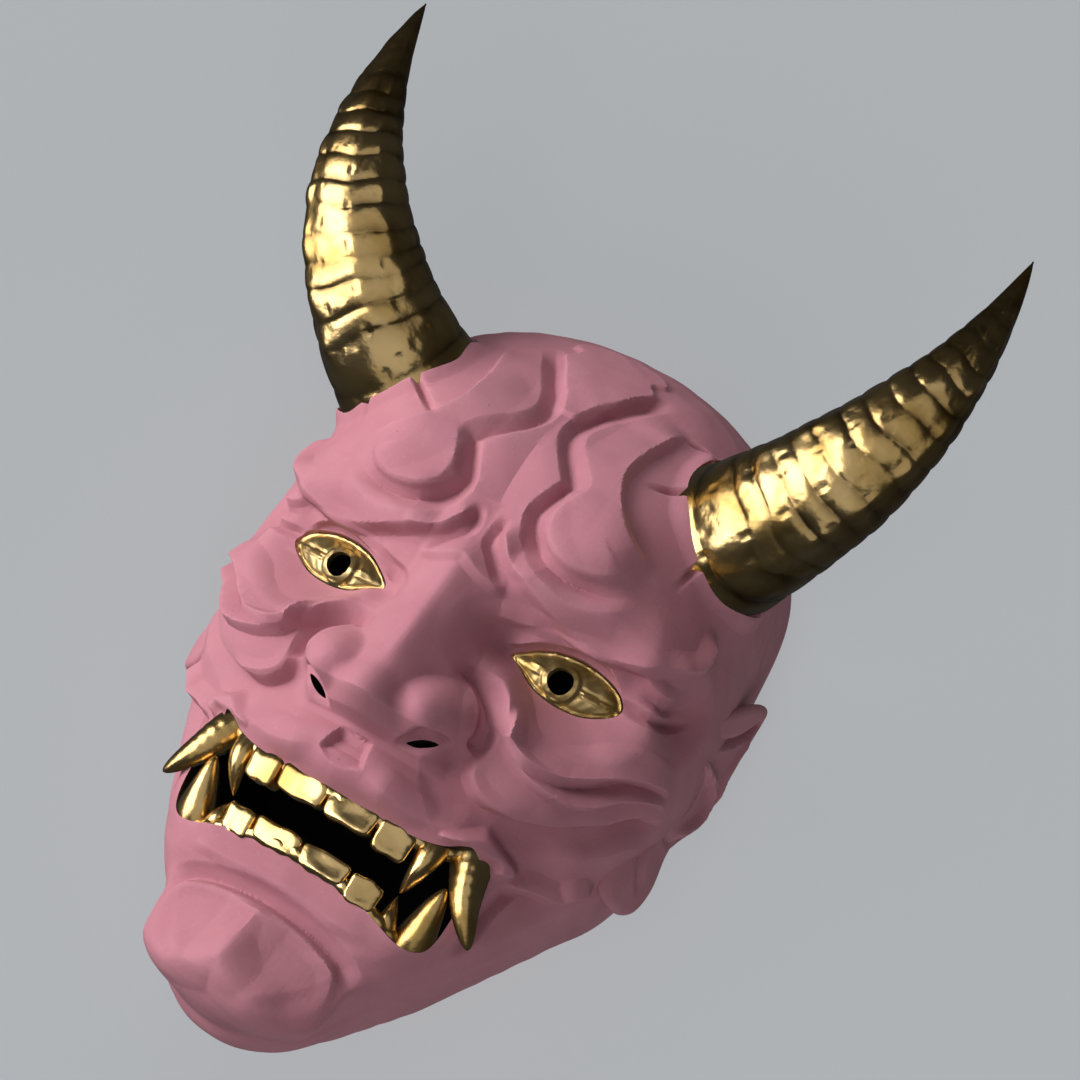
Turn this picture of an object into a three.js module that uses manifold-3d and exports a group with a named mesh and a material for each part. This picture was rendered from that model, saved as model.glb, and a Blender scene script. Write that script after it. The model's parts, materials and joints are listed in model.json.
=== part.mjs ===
import * as THREE from 'three';
import { SimplifyModifier } from 'three/addons/modifiers/SimplifyModifier.js';
import { mergeVertices } from 'three/addons/utils/BufferGeometryUtils.js';
import Module from 'manifold-3d';

// An oni mask lying on its rim: a hollow resin face with ears, two horns, two eye plates and two rows of
// teeth. Millimetres. X runs to the viewer's right, Y to the crown and Z out of the face, up as it lies.

// Driving dimensions
const PUPIL_SPACING = 70;
const PUPIL_DIAMETER = 7;
const WALL = 5;
const GAP = 0.35;
const FACE_CENTRE_Y = -12;
const FRONT_Z = 80;
const RELIEF_FADES_WITHIN = 0.08;

// The share of the way from the face's centre to its rim at which the front ends and the side wall starts
const SKIRT_FROM = 0.86;

// Mesh density: cells across each grid, how far cells crowd to the middle, and the vertices kept
const OUTER_CELLS = 160;
const CELLS_PER_INNER_CELL = 8;
const INNER_CELLS = OUTER_CELLS / CELLS_PER_INNER_CELL;
const CROWDING = 0.53;
const SHELL_VERTICES = 2180;
const TEETH_VERTICES = 380;

// The rim seen from the front: angle from the viewer's right in degrees, reach in mm, the share by which
// the wall tucks in behind, the height of its widest line, and how square the dome's shoulder is
const OUTLINE = [
  { angle: -90, reach: 107, tuck: 0.12, widest: 38, square: 2.6 },
  { angle: -68, reach: 91, tuck: 0.18, widest: 42, square: 2.9 },
  { angle: -55, reach: 81.5, tuck: 0.15, widest: 38, square: 2.7 },
  { angle: -44, reach: 76.5, tuck: 0.1, widest: 34, square: 2.3 },
  { angle: -29, reach: 73, tuck: 0.04, widest: 30, square: 2.1 },
  { angle: 0, reach: 73, tuck: 0.05, widest: 30, square: 2.3 },
  { angle: 31, reach: 82, tuck: 0, widest: 25, square: 2.4 },
  { angle: 50, reach: 101, tuck: 0, widest: 22, square: 2.5 },
  { angle: 67, reach: 111, tuck: -0.01, widest: 22, square: 2.5 },
  { angle: 90, reach: 113.5, tuck: -0.03, widest: 22, square: 2.5 },
];
const MIDDLE = { square: 2.4, widest: 32 };

// Horns: centre line from the collar to the tip, on the viewer's right
const HORN = {
  line: [[52.3, 58.9, 54.5], [81.5, 75.6, 93.6], [93.3, 111.9, 89.9], [93.2, 149.2, 93.8]],
  baseRadius: 21.5,
  taper: 0.83,
  rings: 16,
  waveHeight: 0.7,
  waves: 4,
};

// Eyes, viewer's right: outline from the inner corner round by the upper lid
const EYE = {
  outline: [[20.2, 0.4], [26, 5], [32, 7.4], [39, 8], [46, 6.7], [50, 4.4], [51.6, 1.2], [49, -2], [43, -5],
    [36, -5.8], [29.5, -4.9], [24, -2]],
  innerCornerZ: 66.7,
  slope: -0.2,
  bulge: 4.3,
  thickness: 3,
  ringRadius: 5.4,
  ringHeight: 0.9,
};

// Mouth, viewer's right half, from the middle of the upper gum round to the middle of the lower gum
const MOUTH = [[0, -53.6], [13, -53.9], [24, -53.5], [31, -52], [36.5, -49], [41, -48.3], [43, -52], [43, -64],
  [42, -74], [39, -78.6], [33, -79], [24, -76.4], [14, -73.8], [0, -72.4]];
const MOUTH_FLOOR_Z = 52;
const CUT_TOP_Z = 110;
const EYE_FLOOR_Z = 30;

// Nostrils: blind slots up into the nose, viewer's right
const NOSTRIL = { line: [[13, -38, 84], [15, -31, 86], [17, -24, 86]], radius: 2.6 };

// Inside: the share of a swelling that the lining follows, and the extra backing behind each horn
const LINING_FOLLOWS = 0.55;
const HORN_BACKING = { depth: 8, at: [54, 60], size: [30, 30], power: 0.6 };

// Materials
const RESIN = { color: 0xb9707c, roughness: 0.62, metalness: 0 };
const GOLD = { color: 0xb08a3c, roughness: 0.25, metalness: 1 };

const clamp01 = (x) => Math.min(1, Math.max(0, x));
const smooth = (x) => clamp01(x) ** 2 * (3 - 2 * clamp01(x));

// A value between given stations of [place, value], in straight steps
function between(stations, at) {
  if (at <= stations[0][0]) return stations[0][1];
  for (let i = 1; i < stations.length; i += 1) {
    const [a, va] = stations[i - 1];
    const [b, vb] = stations[i];
    if (at <= b) return va + ((at - a) / (b - a)) * (vb - va);
  }
  return stations.at(-1)[1];
}

// A smooth loop round the face through one column of the outline, mirrored about the midline
function roundTheFace(key) {
  const right = OUTLINE.map((row) => [row.angle, row[key]]);
  const left = OUTLINE.slice(1, -1).reverse().map((row) => [180 - row.angle, row[key]]);
  const once = [...right, ...left].sort((p, q) => p[0] - q[0]);
  const all = [-360, 0, 360].flatMap((turn) => once.map(([a, v]) => [a + turn, v]));
  const slope = (i) => (all[i + 1][1] - all[i - 1][1]) / (all[i + 1][0] - all[i - 1][0]);
  return (angle) => {
    let i = 1;
    while (all[i + 1][0] < angle) i += 1;
    const [a, va] = all[i];
    const [b, vb] = all[i + 1];
    const x = (angle - a) / (b - a);
    const bend = (b - a) * x * (1 - x) * (slope(i) * (1 - x) - slope(i + 1) * x);
    return va * (1 + 2 * x) * (1 - x) ** 2 + vb * x * x * (3 - 2 * x) + bend;
  };
}
const reachAt = roundTheFace('reach');
const tuckAt = roundTheFace('tuck');
const widestAt = roundTheFace('widest');
const squareAt = roundTheFace('square');

// How far the unrolled face runs from its centre to the rim
const unrolled = (angle) => (reachAt(angle) * Math.PI) / 2 / SKIRT_FROM;

// The smooth dome under the features, at unrolled place (s, t)
function dome(s, t) {
  const dy = t - FACE_CENTRE_Y;
  const turn = Math.atan2(dy, s);
  const angle = THREE.MathUtils.radToDeg(turn);
  const rho = Math.min(Math.hypot(s, dy) / unrolled(angle), 1);
  const lean = Math.min(rho / SKIRT_FROM, 1) * (Math.PI / 2);
  const skirt = clamp01((rho - SKIRT_FROM) / (1 - SKIRT_FROM));
  const square = MIDDLE.square + (squareAt(angle) - MIDDLE.square) * Math.min(rho / 0.4, 1) ** 2;
  const k = (Math.sin(lean) ** square + Math.abs(Math.cos(lean)) ** square) ** (-1 / square);
  const lateral = reachAt(angle) * k * Math.sin(lean) * (1 - tuckAt(angle) * skirt ** 1.4);
  const widest = MIDDLE.widest + (widestAt(angle) - MIDDLE.widest) * Math.min(rho / 0.5, 1) ** 2;
  const z = widest * (1 - skirt) + (FRONT_Z - widest) * k * Math.cos(lean);
  return new THREE.Vector3(lateral * Math.cos(turn), FACE_CENTRE_Y + lateral * Math.sin(turn), z);
}

// An elliptical swelling: 1 in its middle and 0 at its edge
function swelling(s, t, { at: [x, y], size: [rx, ry], turn = 0, power = 0.8 }) {
  const a = THREE.MathUtils.degToRad(turn);
  const p = ((s - x) * Math.cos(a) + (t - y) * Math.sin(a)) / rx;
  const q = ((t - y) * Math.cos(a) - (s - x) * Math.sin(a)) / ry;
  return smooth(1 - Math.hypot(p, q)) ** power;
}

// A crest or groove along a curve, falling away over its left and right widths and fading at its ends
function carve({ line, height, left, right, fade = [0.15, 0.15], crisp = 0.5 }) {
  const curve = new THREE.CatmullRomCurve3(line.map(([x, y]) => new THREE.Vector3(x, y, 0)));
  curve.curveType = 'catmullrom';
  const points = curve.getSpacedPoints(line.length * 6);
  const last = points.length - 1;
  return (s, t) => {
    let best = Infinity;
    let side = 1;
    let share = 0;
    for (let i = 0; i < last; i += 1) {
      const dx = points[i + 1].x - points[i].x;
      const dy = points[i + 1].y - points[i].y;
      const x = s - points[i].x;
      const y = t - points[i].y;
      const k = clamp01((x * dx + y * dy) / (dx * dx + dy * dy));
      const away = Math.hypot(x - k * dx, y - k * dy);
      if (away < best) {
        best = away;
        side = dx * y - dy * x >= 0 ? left : right;
        share = (i + k) / last;
      }
    }
    const x = clamp01(best / side);
    const fall = crisp * (1 - x) ** 2 + (1 - crisp) * (1 - smooth(x));
    const start = fade[0] > 0 ? smooth(share / fade[0]) : 1;
    const end = fade[1] > 0 ? smooth((1 - share) / fade[1]) : 1;
    return height * fall * start * end;
  };
}

// The carved lines that show from a step away, drawn on the viewer's right half
const CARVING = [
  // forehead channels
  { line: [[21, 92], [12.5, 77], [6, 63], [6, 55], [9, 49.5], [14, 44.5]], height: -3, left: 4.6, right: 4.6,
    fade: [0.25, 0.02] },
  { line: [[14, 43.5], [11, 37], [11, 32], [16, 25], [23.5, 22], [31, 21], [41, 26]], height: -3.2, left: 4.8,
    right: 4.8, fade: [0.02, 0.35] },
  // step round the horn mound
  { line: [[31, 88], [24, 62], [23, 51], [28, 39], [42, 33]], height: 2.4, left: 4, right: 14,
    fade: [0.2, 0.3] },
  // brow crest over the socket
  { line: [[7, 36], [8, 29], [12, 22.5], [19, 17.5], [27, 14.5], [36, 13], [46, 12.5], [56, 14], [66, 18]],
    height: 3.4, left: 14, right: 4.5, fade: [0.15, 0.12] },
  // lids
  { line: [[15, 3], [25, 7.6], [34, 10.4], [46, 10.4], [56, 7.5], [62, 4]], height: 2.4, left: 5, right: 3.6,
    fade: [0.2, 0.2] },
  { line: [[19, -2.5], [25, -7], [33, -9.7], [42, -10], [51, -7.5], [58, -3]], height: 1.8, left: 4, right: 5,
    fade: [0.2, 0.2] },
  // cheek folds
  { line: [[16, -11], [24, -10.5], [30, -13], [34, -18.5], [39, -22.7], [46, -24], [54, -21.5], [64, -16],
    [84, -10]], height: -2.4, left: 3.6, right: 3.6, fade: [0.2, 0.2] },
  { line: [[30, -19], [35, -26], [44, -29.5], [55, -28.5], [64, -24], [80, -16]], height: -2.2, left: 3.6,
    right: 3.6, fade: [0.15, 0.2] },
  { line: [[28, -22], [27, -29], [29, -35], [34, -39], [41, -40], [50, -38], [60, -34], [84, -23]],
    height: -3.6, left: 4, right: 9, fade: [0.12, 0.2] },
  // wings of the nose and the fold down to the mouth corner
  { line: [[7, -28], [9, -19], [15, -14.5], [22, -15.5], [27, -21], [27, -29]], height: -2.4, left: 3.4,
    right: 4.4 },
  { line: [[24, -38], [34, -43], [43, -44], [50, -47], [56, -52], [58, -58]], height: 2.4, left: 4, right: 5,
    fade: [0.2, 0.2] },
  // jaw
  { line: [[60, -55], [68, -55], [77, -54], [88, -51]], height: 2, left: 5, right: 4 },
  { line: [[60, -58], [58, -65], [55, -74], [51, -86]], height: -1.8, left: 4, right: 5, fade: [0.2, 0.3] },
  // lips
  { line: [[0, -51.3], [12, -51.3], [24, -50.3], [34, -48.5], [43, -45], [50, -49], [52, -60]], height: 1.6,
    left: 4, right: 3.6, fade: [0, 0.2] },
  { line: [[0, -76.5], [12, -77], [20, -79], [28, -82.5], [36, -87.5], [44, -90]], height: 1.8, left: 3.6,
    right: 4, fade: [0, 0.2] },
  { line: [[0, -84.5], [12, -84.5], [22, -87.5], [30, -92]], height: -2.6, left: 5, right: 5,
    fade: [0, 0.3] },
  // chin: the arch above the boss and its brow-like edge
  { line: [[0, -88.3], [8, -89.7], [15, -92.5], [21.5, -96], [27, -101.5], [31.5, -109]], height: 1.6,
    left: 3.6, right: 9, fade: [0, 0.2] },
  { line: [[0, -104], [9, -106], [18, -109.5], [27, -113]], height: 5.5, left: 15, right: 17,
    fade: [0, 0.12], crisp: 0.35 },
].map(carve);

// Nose: how far the ridge stands out, and its half-width, from the lip up to the brow
const NOSE_RISE = [[-39, 0], [-37, 3], [-34.5, 11], [-30, 17], [-24, 16], [-12, 12], [0, 9], [13, 6], [24, 1],
  [30, 0]];
const NOSE_HALF_WIDTH = [[-40, 19], [-30, 19], [-12, 15], [13, 11], [24, 10]];

// The masses of the face, outward from the dome: sockets, brows, temples, forehead and horn mounds, then
// the nose with its wings, the cheeks, the lips and jaw, and the chin
const MASSES = [
  { height: -12, at: [37, 0], size: [33, 21], turn: 4, power: 0.7 },
  { height: -3, at: [19, 2], size: [10, 9] },
  { height: 8, at: [22, 40], size: [40, 34], turn: -15 },
  { height: 3.5, at: [62, 24], size: [22, 16], turn: 20 },
  { height: 3, at: [0, 46], size: [24, 26] },
  { height: -5, at: [78, 12], size: [15, 17] },
  { height: 1.6, at: [26, 33], size: [15, 12], power: 0.6 },
  { height: 4, at: [56, 62], size: [34, 34] },
  { height: 4, at: [0, -30], size: [11, 9], power: 0.7 },
  { height: 9, at: [17, -25], size: [11, 11], turn: -20, power: 0.55 },
  { height: 4, at: [48, -31], size: [30, 15], turn: 12 },
  { height: 7, at: [0, -46], size: [28, 11], power: 0.6 },
  { height: -3, at: [12, -64], size: [46, 26], power: 0.6 },
  { height: -3, at: [58, -56], size: [20, 24], power: 0.7 },
  { height: 9, at: [14, -106], size: [30, 20], turn: -14, power: 0.45 },
  { height: 5, at: [12, -132], size: [30, 26], power: 0.7 },
];
function masses(s, t) {
  const a = Math.abs(s);
  const side = (Math.sqrt(a * a + 4) - 2) / between(NOSE_HALF_WIDTH, t);
  const nose = between(NOSE_RISE, t) * clamp01(1 - side) ** 1.15;
  return MASSES.reduce((sum, mass) => sum + mass.height * swelling(a, t, mass), nose);
}
const carving = (s, t) => CARVING.reduce((sum, line) => sum + line(Math.abs(s), t), 0);

// Unrolled places on a square grid bent to the face's outline, finer in the middle
function place(u, v) {
  const p = u * Math.sqrt(1 - (v * v) / 2);
  const q = v * Math.sqrt(1 - (u * u) / 2);
  const flat = Math.hypot(p, q);
  const turn = Math.atan2(q, p);
  const rho = (1 - CROWDING) * flat + CROWDING * flat ** 3;
  const r = rho * unrolled(THREE.MathUtils.radToDeg(turn));
  return { s: r * Math.cos(turn), t: FACE_CENTRE_Y + r * Math.sin(turn), rho };
}

// Outward normal of a surface given as a function of unrolled place
function normalOf(surface, s, t) {
  const step = 0.2;
  const ds = surface(s + step, t).sub(surface(s - step, t));
  const dt = surface(s, t + step).sub(surface(s, t - step));
  return ds.cross(dt).normalize();
}

const calm = (rho) => smooth((1 - rho) / RELIEF_FADES_WITHIN);
function face(s, t, rho) {
  const point = dome(s, t);
  if (rho > 0.995) return point;
  const inward = s * (1 - 1e-3);
  return point.addScaledVector(normalOf(dome, inward, t), (masses(s, t) + carving(s, t)) * calm(rho));
}
function lining(s, t, rho) {
  const point = dome(s, t);
  const edge = Math.min(rho, 0.985) / Math.max(rho, 1e-6);
  const normal = normalOf(dome, s * edge, FACE_CENTRE_Y + (t - FACE_CENTRE_Y) * edge);
  const follow = masses(s, t);
  const share = follow < 0 ? 1 : LINING_FOLLOWS;
  const backing = HORN_BACKING.depth * swelling(Math.abs(s), t, HORN_BACKING);
  return point.addScaledVector(normal, follow * share * calm(rho) - WALL - backing);
}

// Shell: the outer face and the inner lining, each a grid, joined by a flat rim
function shellGeometry() {
  const positions = [];
  const index = [];
  const sheet = (cells, surface) => {
    const first = positions.length / 3;
    for (let j = 0; j <= cells; j += 1) {
      for (let i = 0; i <= cells; i += 1) {
        const { s, t, rho } = place((2 * i) / cells - 1, (2 * j) / cells - 1);
        const point = surface(s, t, rho);
        if (rho > 0.9999) point.z = 0;
        positions.push(point.x, point.y, Math.max(point.z, 0));
      }
    }
    return (i, j) => first + j * (cells + 1) + i;
  };
  const fill = (cells, at, outward) => {
    for (let j = 0; j < cells; j += 1) {
      for (let i = 0; i < cells; i += 1) {
        const quad = [at(i, j), at(i + 1, j), at(i + 1, j + 1), at(i, j + 1)];
        const [a, b, c, d] = outward ? quad : quad.reverse();
        // the diagonal runs towards the face's centre on every side
        if ((i < cells / 2) === (j < cells / 2)) index.push(a, b, c, a, c, d);
        else index.push(a, b, d, b, c, d);
      }
    }
  };
  const outer = sheet(OUTER_CELLS, face);
  const inner = sheet(INNER_CELLS, lining);
  fill(OUTER_CELLS, outer, true);
  fill(INNER_CELLS, inner, false);
  const walk = (cells, at) => {
    const loop = [];
    for (let i = 0; i < cells; i += 1) loop.push(at(i, 0));
    for (let i = 0; i < cells; i += 1) loop.push(at(cells, i));
    for (let i = cells; i > 0; i -= 1) loop.push(at(i, cells));
    for (let i = cells; i > 0; i -= 1) loop.push(at(0, i));
    return loop;
  };
  const outerLoop = walk(OUTER_CELLS, outer);
  const innerLoop = walk(INNER_CELLS, inner);
  innerLoop.forEach((start, i) => {
    const end = innerLoop[(i + 1) % innerLoop.length];
    for (let k = 0; k < CELLS_PER_INNER_CELL; k += 1) {
      const here = i * CELLS_PER_INNER_CELL + k;
      const near = k < CELLS_PER_INNER_CELL / 2 ? start : end;
      if (k === CELLS_PER_INNER_CELL / 2) index.push(start, end, outerLoop[here]);
      index.push(near, outerLoop[(here + 1) % outerLoop.length], outerLoop[here]);
    }
  });
  return closed(positions, index);
}

// A geometry from plain lists
function closed(positions, index) {
  const geometry = new THREE.BufferGeometry();
  geometry.setAttribute('position', new THREE.Float32BufferAttribute(positions, 3));
  geometry.setIndex(index);
  return geometry;
}

// A round bar along a curve, with a radius and a flattening that may change along it
function sweep({ curve, radius, sides = 8, rings = 8, flat = 1, up = [0, 0, 1] }) {
  const positions = [];
  const index = [];
  const upward = new THREE.Vector3(...up);
  for (let i = 0; i <= rings; i += 1) {
    const u = i / rings;
    const centre = curve.getPoint(u);
    const along = curve.getTangent(u);
    const wide = new THREE.Vector3().crossVectors(along, upward).normalize();
    const deep = new THREE.Vector3().crossVectors(wide, along).normalize();
    const r = Math.max(radius(u), 0.15);
    for (let k = 0; k < sides; k += 1) {
      const turn = (2 * Math.PI * k) / sides;
      const point = centre.clone();
      point.addScaledVector(wide, r * Math.cos(turn));
      point.addScaledVector(deep, -r * flat * Math.sin(turn));
      positions.push(point.x, point.y, point.z);
    }
  }
  const start = curve.getPoint(0);
  const end = curve.getPoint(1);
  const startCap = positions.length / 3;
  positions.push(start.x, start.y, start.z, end.x, end.y, end.z);
  const endCap = startCap + 1;
  for (let k = 0; k < sides; k += 1) {
    const next = (k + 1) % sides;
    for (let i = 0; i < rings; i += 1) {
      const a = i * sides + k;
      const b = i * sides + next;
      index.push(a, b, a + sides, b, b + sides, a + sides);
    }
    index.push(startCap, next, k);
    index.push(endCap, rings * sides + k, rings * sides + next);
  }
  return closed(positions, index);
}

const vector = ([x, y, z]) => new THREE.Vector3(x, y, z);
const mirrored = (points, side) => points.map(([x, y, z]) => [x * side, y, z]);

// Horn with annular waves that die out towards the tip
function hornGeometry(side, grow) {
  const curve = new THREE.CubicBezierCurve3(...mirrored(HORN.line, side).map(vector));
  const radius = (u) => {
    const wave = HORN.waveHeight * Math.sin(u * HORN.waves * 2 * Math.PI) * (1 - u) ** 1.5;
    return HORN.baseRadius * Math.max(1 - u ** 0.92, 0) ** HORN.taper + wave + grow;
  };
  return sweep({ curve, radius, sides: 12, rings: HORN.rings });
}

// A tooth: a rounded block
function block({ at, size, turn }, side, grow) {
  const [w, h, d] = size.map((length) => length / 2 + grow);
  const geometry = mergedOnly(new THREE.SphereGeometry(1, 8, 5));
  const position = geometry.attributes.position;
  const bulge = (x) => Math.sign(x) * Math.abs(x) ** 0.45;
  for (let i = 0; i < position.count; i += 1) {
    const [x, y, z] = [position.getX(i), position.getY(i), position.getZ(i)].map(bulge);
    position.setXYZ(i, x * w, y * h, z * d);
  }
  geometry.rotateY(THREE.MathUtils.degToRad(turn * side));
  geometry.translate(at[0] * side, at[1], at[2]);
  return geometry;
}

// A fang or tusk: a curved cone
function fang({ line, base, bend = 0.75 }, side, grow) {
  const curve = new THREE.CatmullRomCurve3(mirrored(line, side).map(vector));
  const radius = (u) => base * Math.max(1 - u, 0) ** bend + grow;
  return sweep({ curve, radius, sides: 8, rings: 5 });
}

// The bar behind a row of teeth
function gumBar(line, base, grow) {
  const whole = [...mirrored(line, -1).reverse(), ...line];
  const curve = new THREE.CatmullRomCurve3(whole.map(vector));
  return sweep({ curve, radius: () => base + grow, sides: 6, rings: 10, flat: 1.1 });
}

const UPPER = {
  gum: [[4, -55.8, 70.5], [14, -55.8, 69], [25, -55, 64.5], [32, -53, 60], [37, -51, 55]],
  gumRadius: 2.6,
  blocks: [
    { at: [7.3, -56.8, 73.2], size: [14, 6.4, 6.4], turn: 4 },
    { at: [19.4, -57.3, 70.6], size: [9.8, 7.4, 6.2], turn: 20 },
  ],
  fangs: [
    { line: [[27.5, -51.5, 65], [27.8, -58.5, 67.8], [26.3, -67.2, 65.4]], base: 3.8 },
    { line: [[35, -49, 56.5], [37, -54, 60], [41, -62, 61.5], [48.3, -70.9, 62.3]], base: 5, bend: 0.7 },
  ],
};
const LOWER = {
  gum: [[4, -71.6, 66], [14, -72.2, 65], [24, -74.2, 61], [30, -76, 57], [35, -77, 52]],
  gumRadius: 2.6,
  blocks: [
    { at: [7.2, -71, 70.2], size: [13.8, 6.2, 6], turn: 4 },
    { at: [18.9, -72, 67.6], size: [9, 7.2, 6], turn: 18 },
  ],
  fangs: [
    { line: [[27, -77.5, 60], [26.6, -73.5, 63], [25.7, -68.5, 62.8]], base: 3 },
    { line: [[34, -78.5, 51], [35, -72.5, 59], [36.3, -60.5, 65.7]], base: 5.8, bend: 0.65 },
  ],
};

// Removes all but the positions and welds the seams, as a boolean needs
function mergedOnly(geometry) {
  const bare = geometry.clone();
  for (const name of Object.keys(bare.attributes)) if (name !== 'position') bare.deleteAttribute(name);
  return mergeVertices(bare, 1e-4);
}

// Fewer triangles where the surface is calm
async function thinned(geometry, vertices) {
  const bare = mergedOnly(geometry);
  return new SimplifyModifier().modify(bare, bare.attributes.position.count - vertices);
}

const wasm = await Module();
wasm.setup();

// A solid from a closed geometry, and back
function solid(geometry) {
  const bare = mergedOnly(geometry);
  const mesh = new wasm.Mesh({
    numProp: 3,
    vertProperties: new Float32Array(bare.attributes.position.array),
    triVerts: new Uint32Array(bare.index.array),
  });
  return new wasm.Manifold(mesh);
}
function geometryOf(body) {
  const mesh = body.getMesh();
  return closed(Array.from(mesh.vertProperties), Array.from(mesh.triVerts));
}
const join = (bodies) => bodies.reduce((all, body) => all.add(body));

// One row of teeth as a single casting
function teeth(row, grow) {
  const parts = [gumBar(row.gum, row.gumRadius, grow)];
  for (const side of [1, -1]) {
    row.blocks.forEach((tooth) => parts.push(block(tooth, side, grow)));
    row.fangs.forEach((tooth) => parts.push(fang(tooth, side, grow)));
  }
  return join(parts.map(solid));
}

// A closed loop through points, as a three.js shape
function loopShape(points) {
  const curve = new THREE.CatmullRomCurve3(points.map(([x, y]) => new THREE.Vector3(x, y, 0)), true);
  const loop = curve.getPoints(points.length * 2).slice(0, -1);
  return new THREE.Shape(loop.map((p) => new THREE.Vector2(p.x, p.y)));
}
function prism(points, from, to) {
  const geometry = new THREE.ExtrudeGeometry(loopShape(points), { depth: to - from, bevelEnabled: false });
  return solid(geometry.translate(0, 0, from));
}

// Eye plate: rings from the pupil hole to the outline, over the front and back
function eyeGeometry(side) {
  const middle = PUPIL_SPACING / 2;
  const curve = new THREE.CatmullRomCurve3(EYE.outline.map(([x, y]) => new THREE.Vector3(x, y, 0)), true);
  const steps = 24;
  const plane = (x) => EYE.innerCornerZ + EYE.slope * (x - EYE.outline[0][0]);
  const ball = (x, share) => plane(x) + EYE.bulge * (1 - share ** 2);
  const positions = [];
  const index = [];
  for (let i = 0; i < steps; i += 1) {
    const edge = curve.getPointAt(i / steps);
    const toEdge = new THREE.Vector2(edge.x - middle, edge.y);
    const reach = toEdge.length();
    const way = toEdge.clone().divideScalar(reach);
    const profile = [
      [PUPIL_DIAMETER / 2, EYE.ringHeight], [EYE.ringRadius - 0.8, EYE.ringHeight], [EYE.ringRadius, 0],
      [(EYE.ringRadius + reach) / 2, 0], [reach, 0], [reach, -EYE.thickness],
      [PUPIL_DIAMETER / 2, -EYE.thickness],
    ];
    for (const [r, lift] of profile) {
      const distance = Math.min(r, reach);
      const x = middle + way.x * distance;
      positions.push(x * side, way.y * distance, ball(x, distance / reach) + lift);
    }
    const row = profile.length;
    const next = (i + 1) % steps;
    for (let k = 0; k < row; k += 1) {
      const a = i * row + k;
      const b = i * row + ((k + 1) % row);
      const c = next * row + ((k + 1) % row);
      const d = next * row + k;
      if (side > 0) index.push(a, c, b, a, d, c);
      else index.push(a, b, c, a, c, d);
    }
  }
  return closed(positions, index);
}

// Ear: a leaf-shaped plate that leans back from the cheek, viewer's right
const EAR = {
  outline: [[-6, -24], [-6, 4], [-1, 14], [12, 23], [25, 30], [31, 30], [30.5, 18], [30, 4], [28, -8],
    [19, -17.5], [17.5, -21], [20, -31], [17, -39], [8, -42], [-1, -40], [-5, -32]],
  front: [66.5, 0, 41],
  back: [74.5, 0, 6],
  thickness: 5,
  bevel: 1.5,
};
function ear(side) {
  const shape = new THREE.Shape(loopShape(EAR.outline).getPoints());
  const depth = EAR.thickness - 2 * EAR.bevel;
  const geometry = new THREE.ExtrudeGeometry(shape, {
    depth, bevelEnabled: true, bevelThickness: EAR.bevel, bevelSize: EAR.bevel, bevelSegments: 1,
    bevelOffset: -EAR.bevel,
  });
  const backward = vector(EAR.back).sub(vector(EAR.front)).normalize();
  const up = new THREE.Vector3(0, 1, 0);
  const outward = new THREE.Vector3().crossVectors(backward, up);
  const frame = new THREE.Matrix4().makeBasis(backward, up, outward);
  geometry.applyMatrix4(frame);
  geometry.translate(EAR.front[0], EAR.front[1], EAR.front[2]);
  return solid(side > 0 ? geometry : flipped(geometry));
}

// The same geometry on the other side of the midline, its faces still turned outward
function flipped(geometry) {
  const bare = mergedOnly(geometry).scale(-1, 1, 1);
  const index = Array.from(bare.index.array);
  for (let i = 0; i < index.length; i += 3) [index[i], index[i + 1]] = [index[i + 1], index[i]];
  return bare.setIndex(index);
}

function nostril(side) {
  const curve = new THREE.CatmullRomCurve3(mirrored(NOSTRIL.line, side).map(vector));
  return solid(sweep({ curve, radius: () => NOSTRIL.radius, sides: 8, rings: 2 }));
}

// The face with everything cut into it
async function faceBody() {
  const grownEye = (side) => {
    const centre = [36, 0.8];
    const grown = EYE.outline.map(([x, y]) => {
      const reach = Math.hypot(x - centre[0], y - centre[1]);
      const wider = 1 + GAP / reach;
      return [(centre[0] + (x - centre[0]) * wider) * side, centre[1] + (y - centre[1]) * wider];
    });
    return prism(side > 0 ? grown : grown.reverse(), EYE_FLOOR_Z, CUT_TOP_Z);
  };
  const mouth = [...MOUTH, ...mirrored(MOUTH, -1).slice(1, -1).reverse()];
  const shell = await thinned(shellGeometry(), SHELL_VERTICES);
  let body = solid(shell).add(ear(1)).add(ear(-1));
  body = body.subtract(prism(mouth.reverse(), MOUTH_FLOOR_Z, CUT_TOP_Z));
  body = body.subtract(teeth(UPPER, GAP)).subtract(teeth(LOWER, GAP));
  for (const side of [1, -1]) {
    body = body.subtract(grownEye(side)).subtract(solid(hornGeometry(side, GAP))).subtract(nostril(side));
  }
  return body;
}

// Node of the finished model
function piece(name, geometry, finish) {
  const mesh = new THREE.Mesh(geometry, new THREE.MeshStandardMaterial(finish));
  mesh.geometry.computeVertexNormals();
  mesh.name = name;
  return mesh;
}

const mask = new THREE.Group();
mask.add(piece('mask_face', geometryOf(await faceBody()), RESIN));
mask.add(piece('horn_right', hornGeometry(1, 0), GOLD));
mask.add(piece('horn_left', hornGeometry(-1, 0), GOLD));
mask.add(piece('eye_right', eyeGeometry(1), GOLD));
mask.add(piece('eye_left', eyeGeometry(-1), GOLD));
mask.add(piece('upper_teeth', await thinned(geometryOf(teeth(UPPER, 0)), TEETH_VERTICES), GOLD));
mask.add(piece('lower_teeth', await thinned(geometryOf(teeth(LOWER, 0)), TEETH_VERTICES), GOLD));

// The origin goes under the middle of the mask's box
const box = new THREE.Box3().setFromObject(mask);
mask.position.y = -(box.min.y + box.max.y) / 2;
mask.position.z = -box.min.z;

export default mask;
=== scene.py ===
import json

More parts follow.
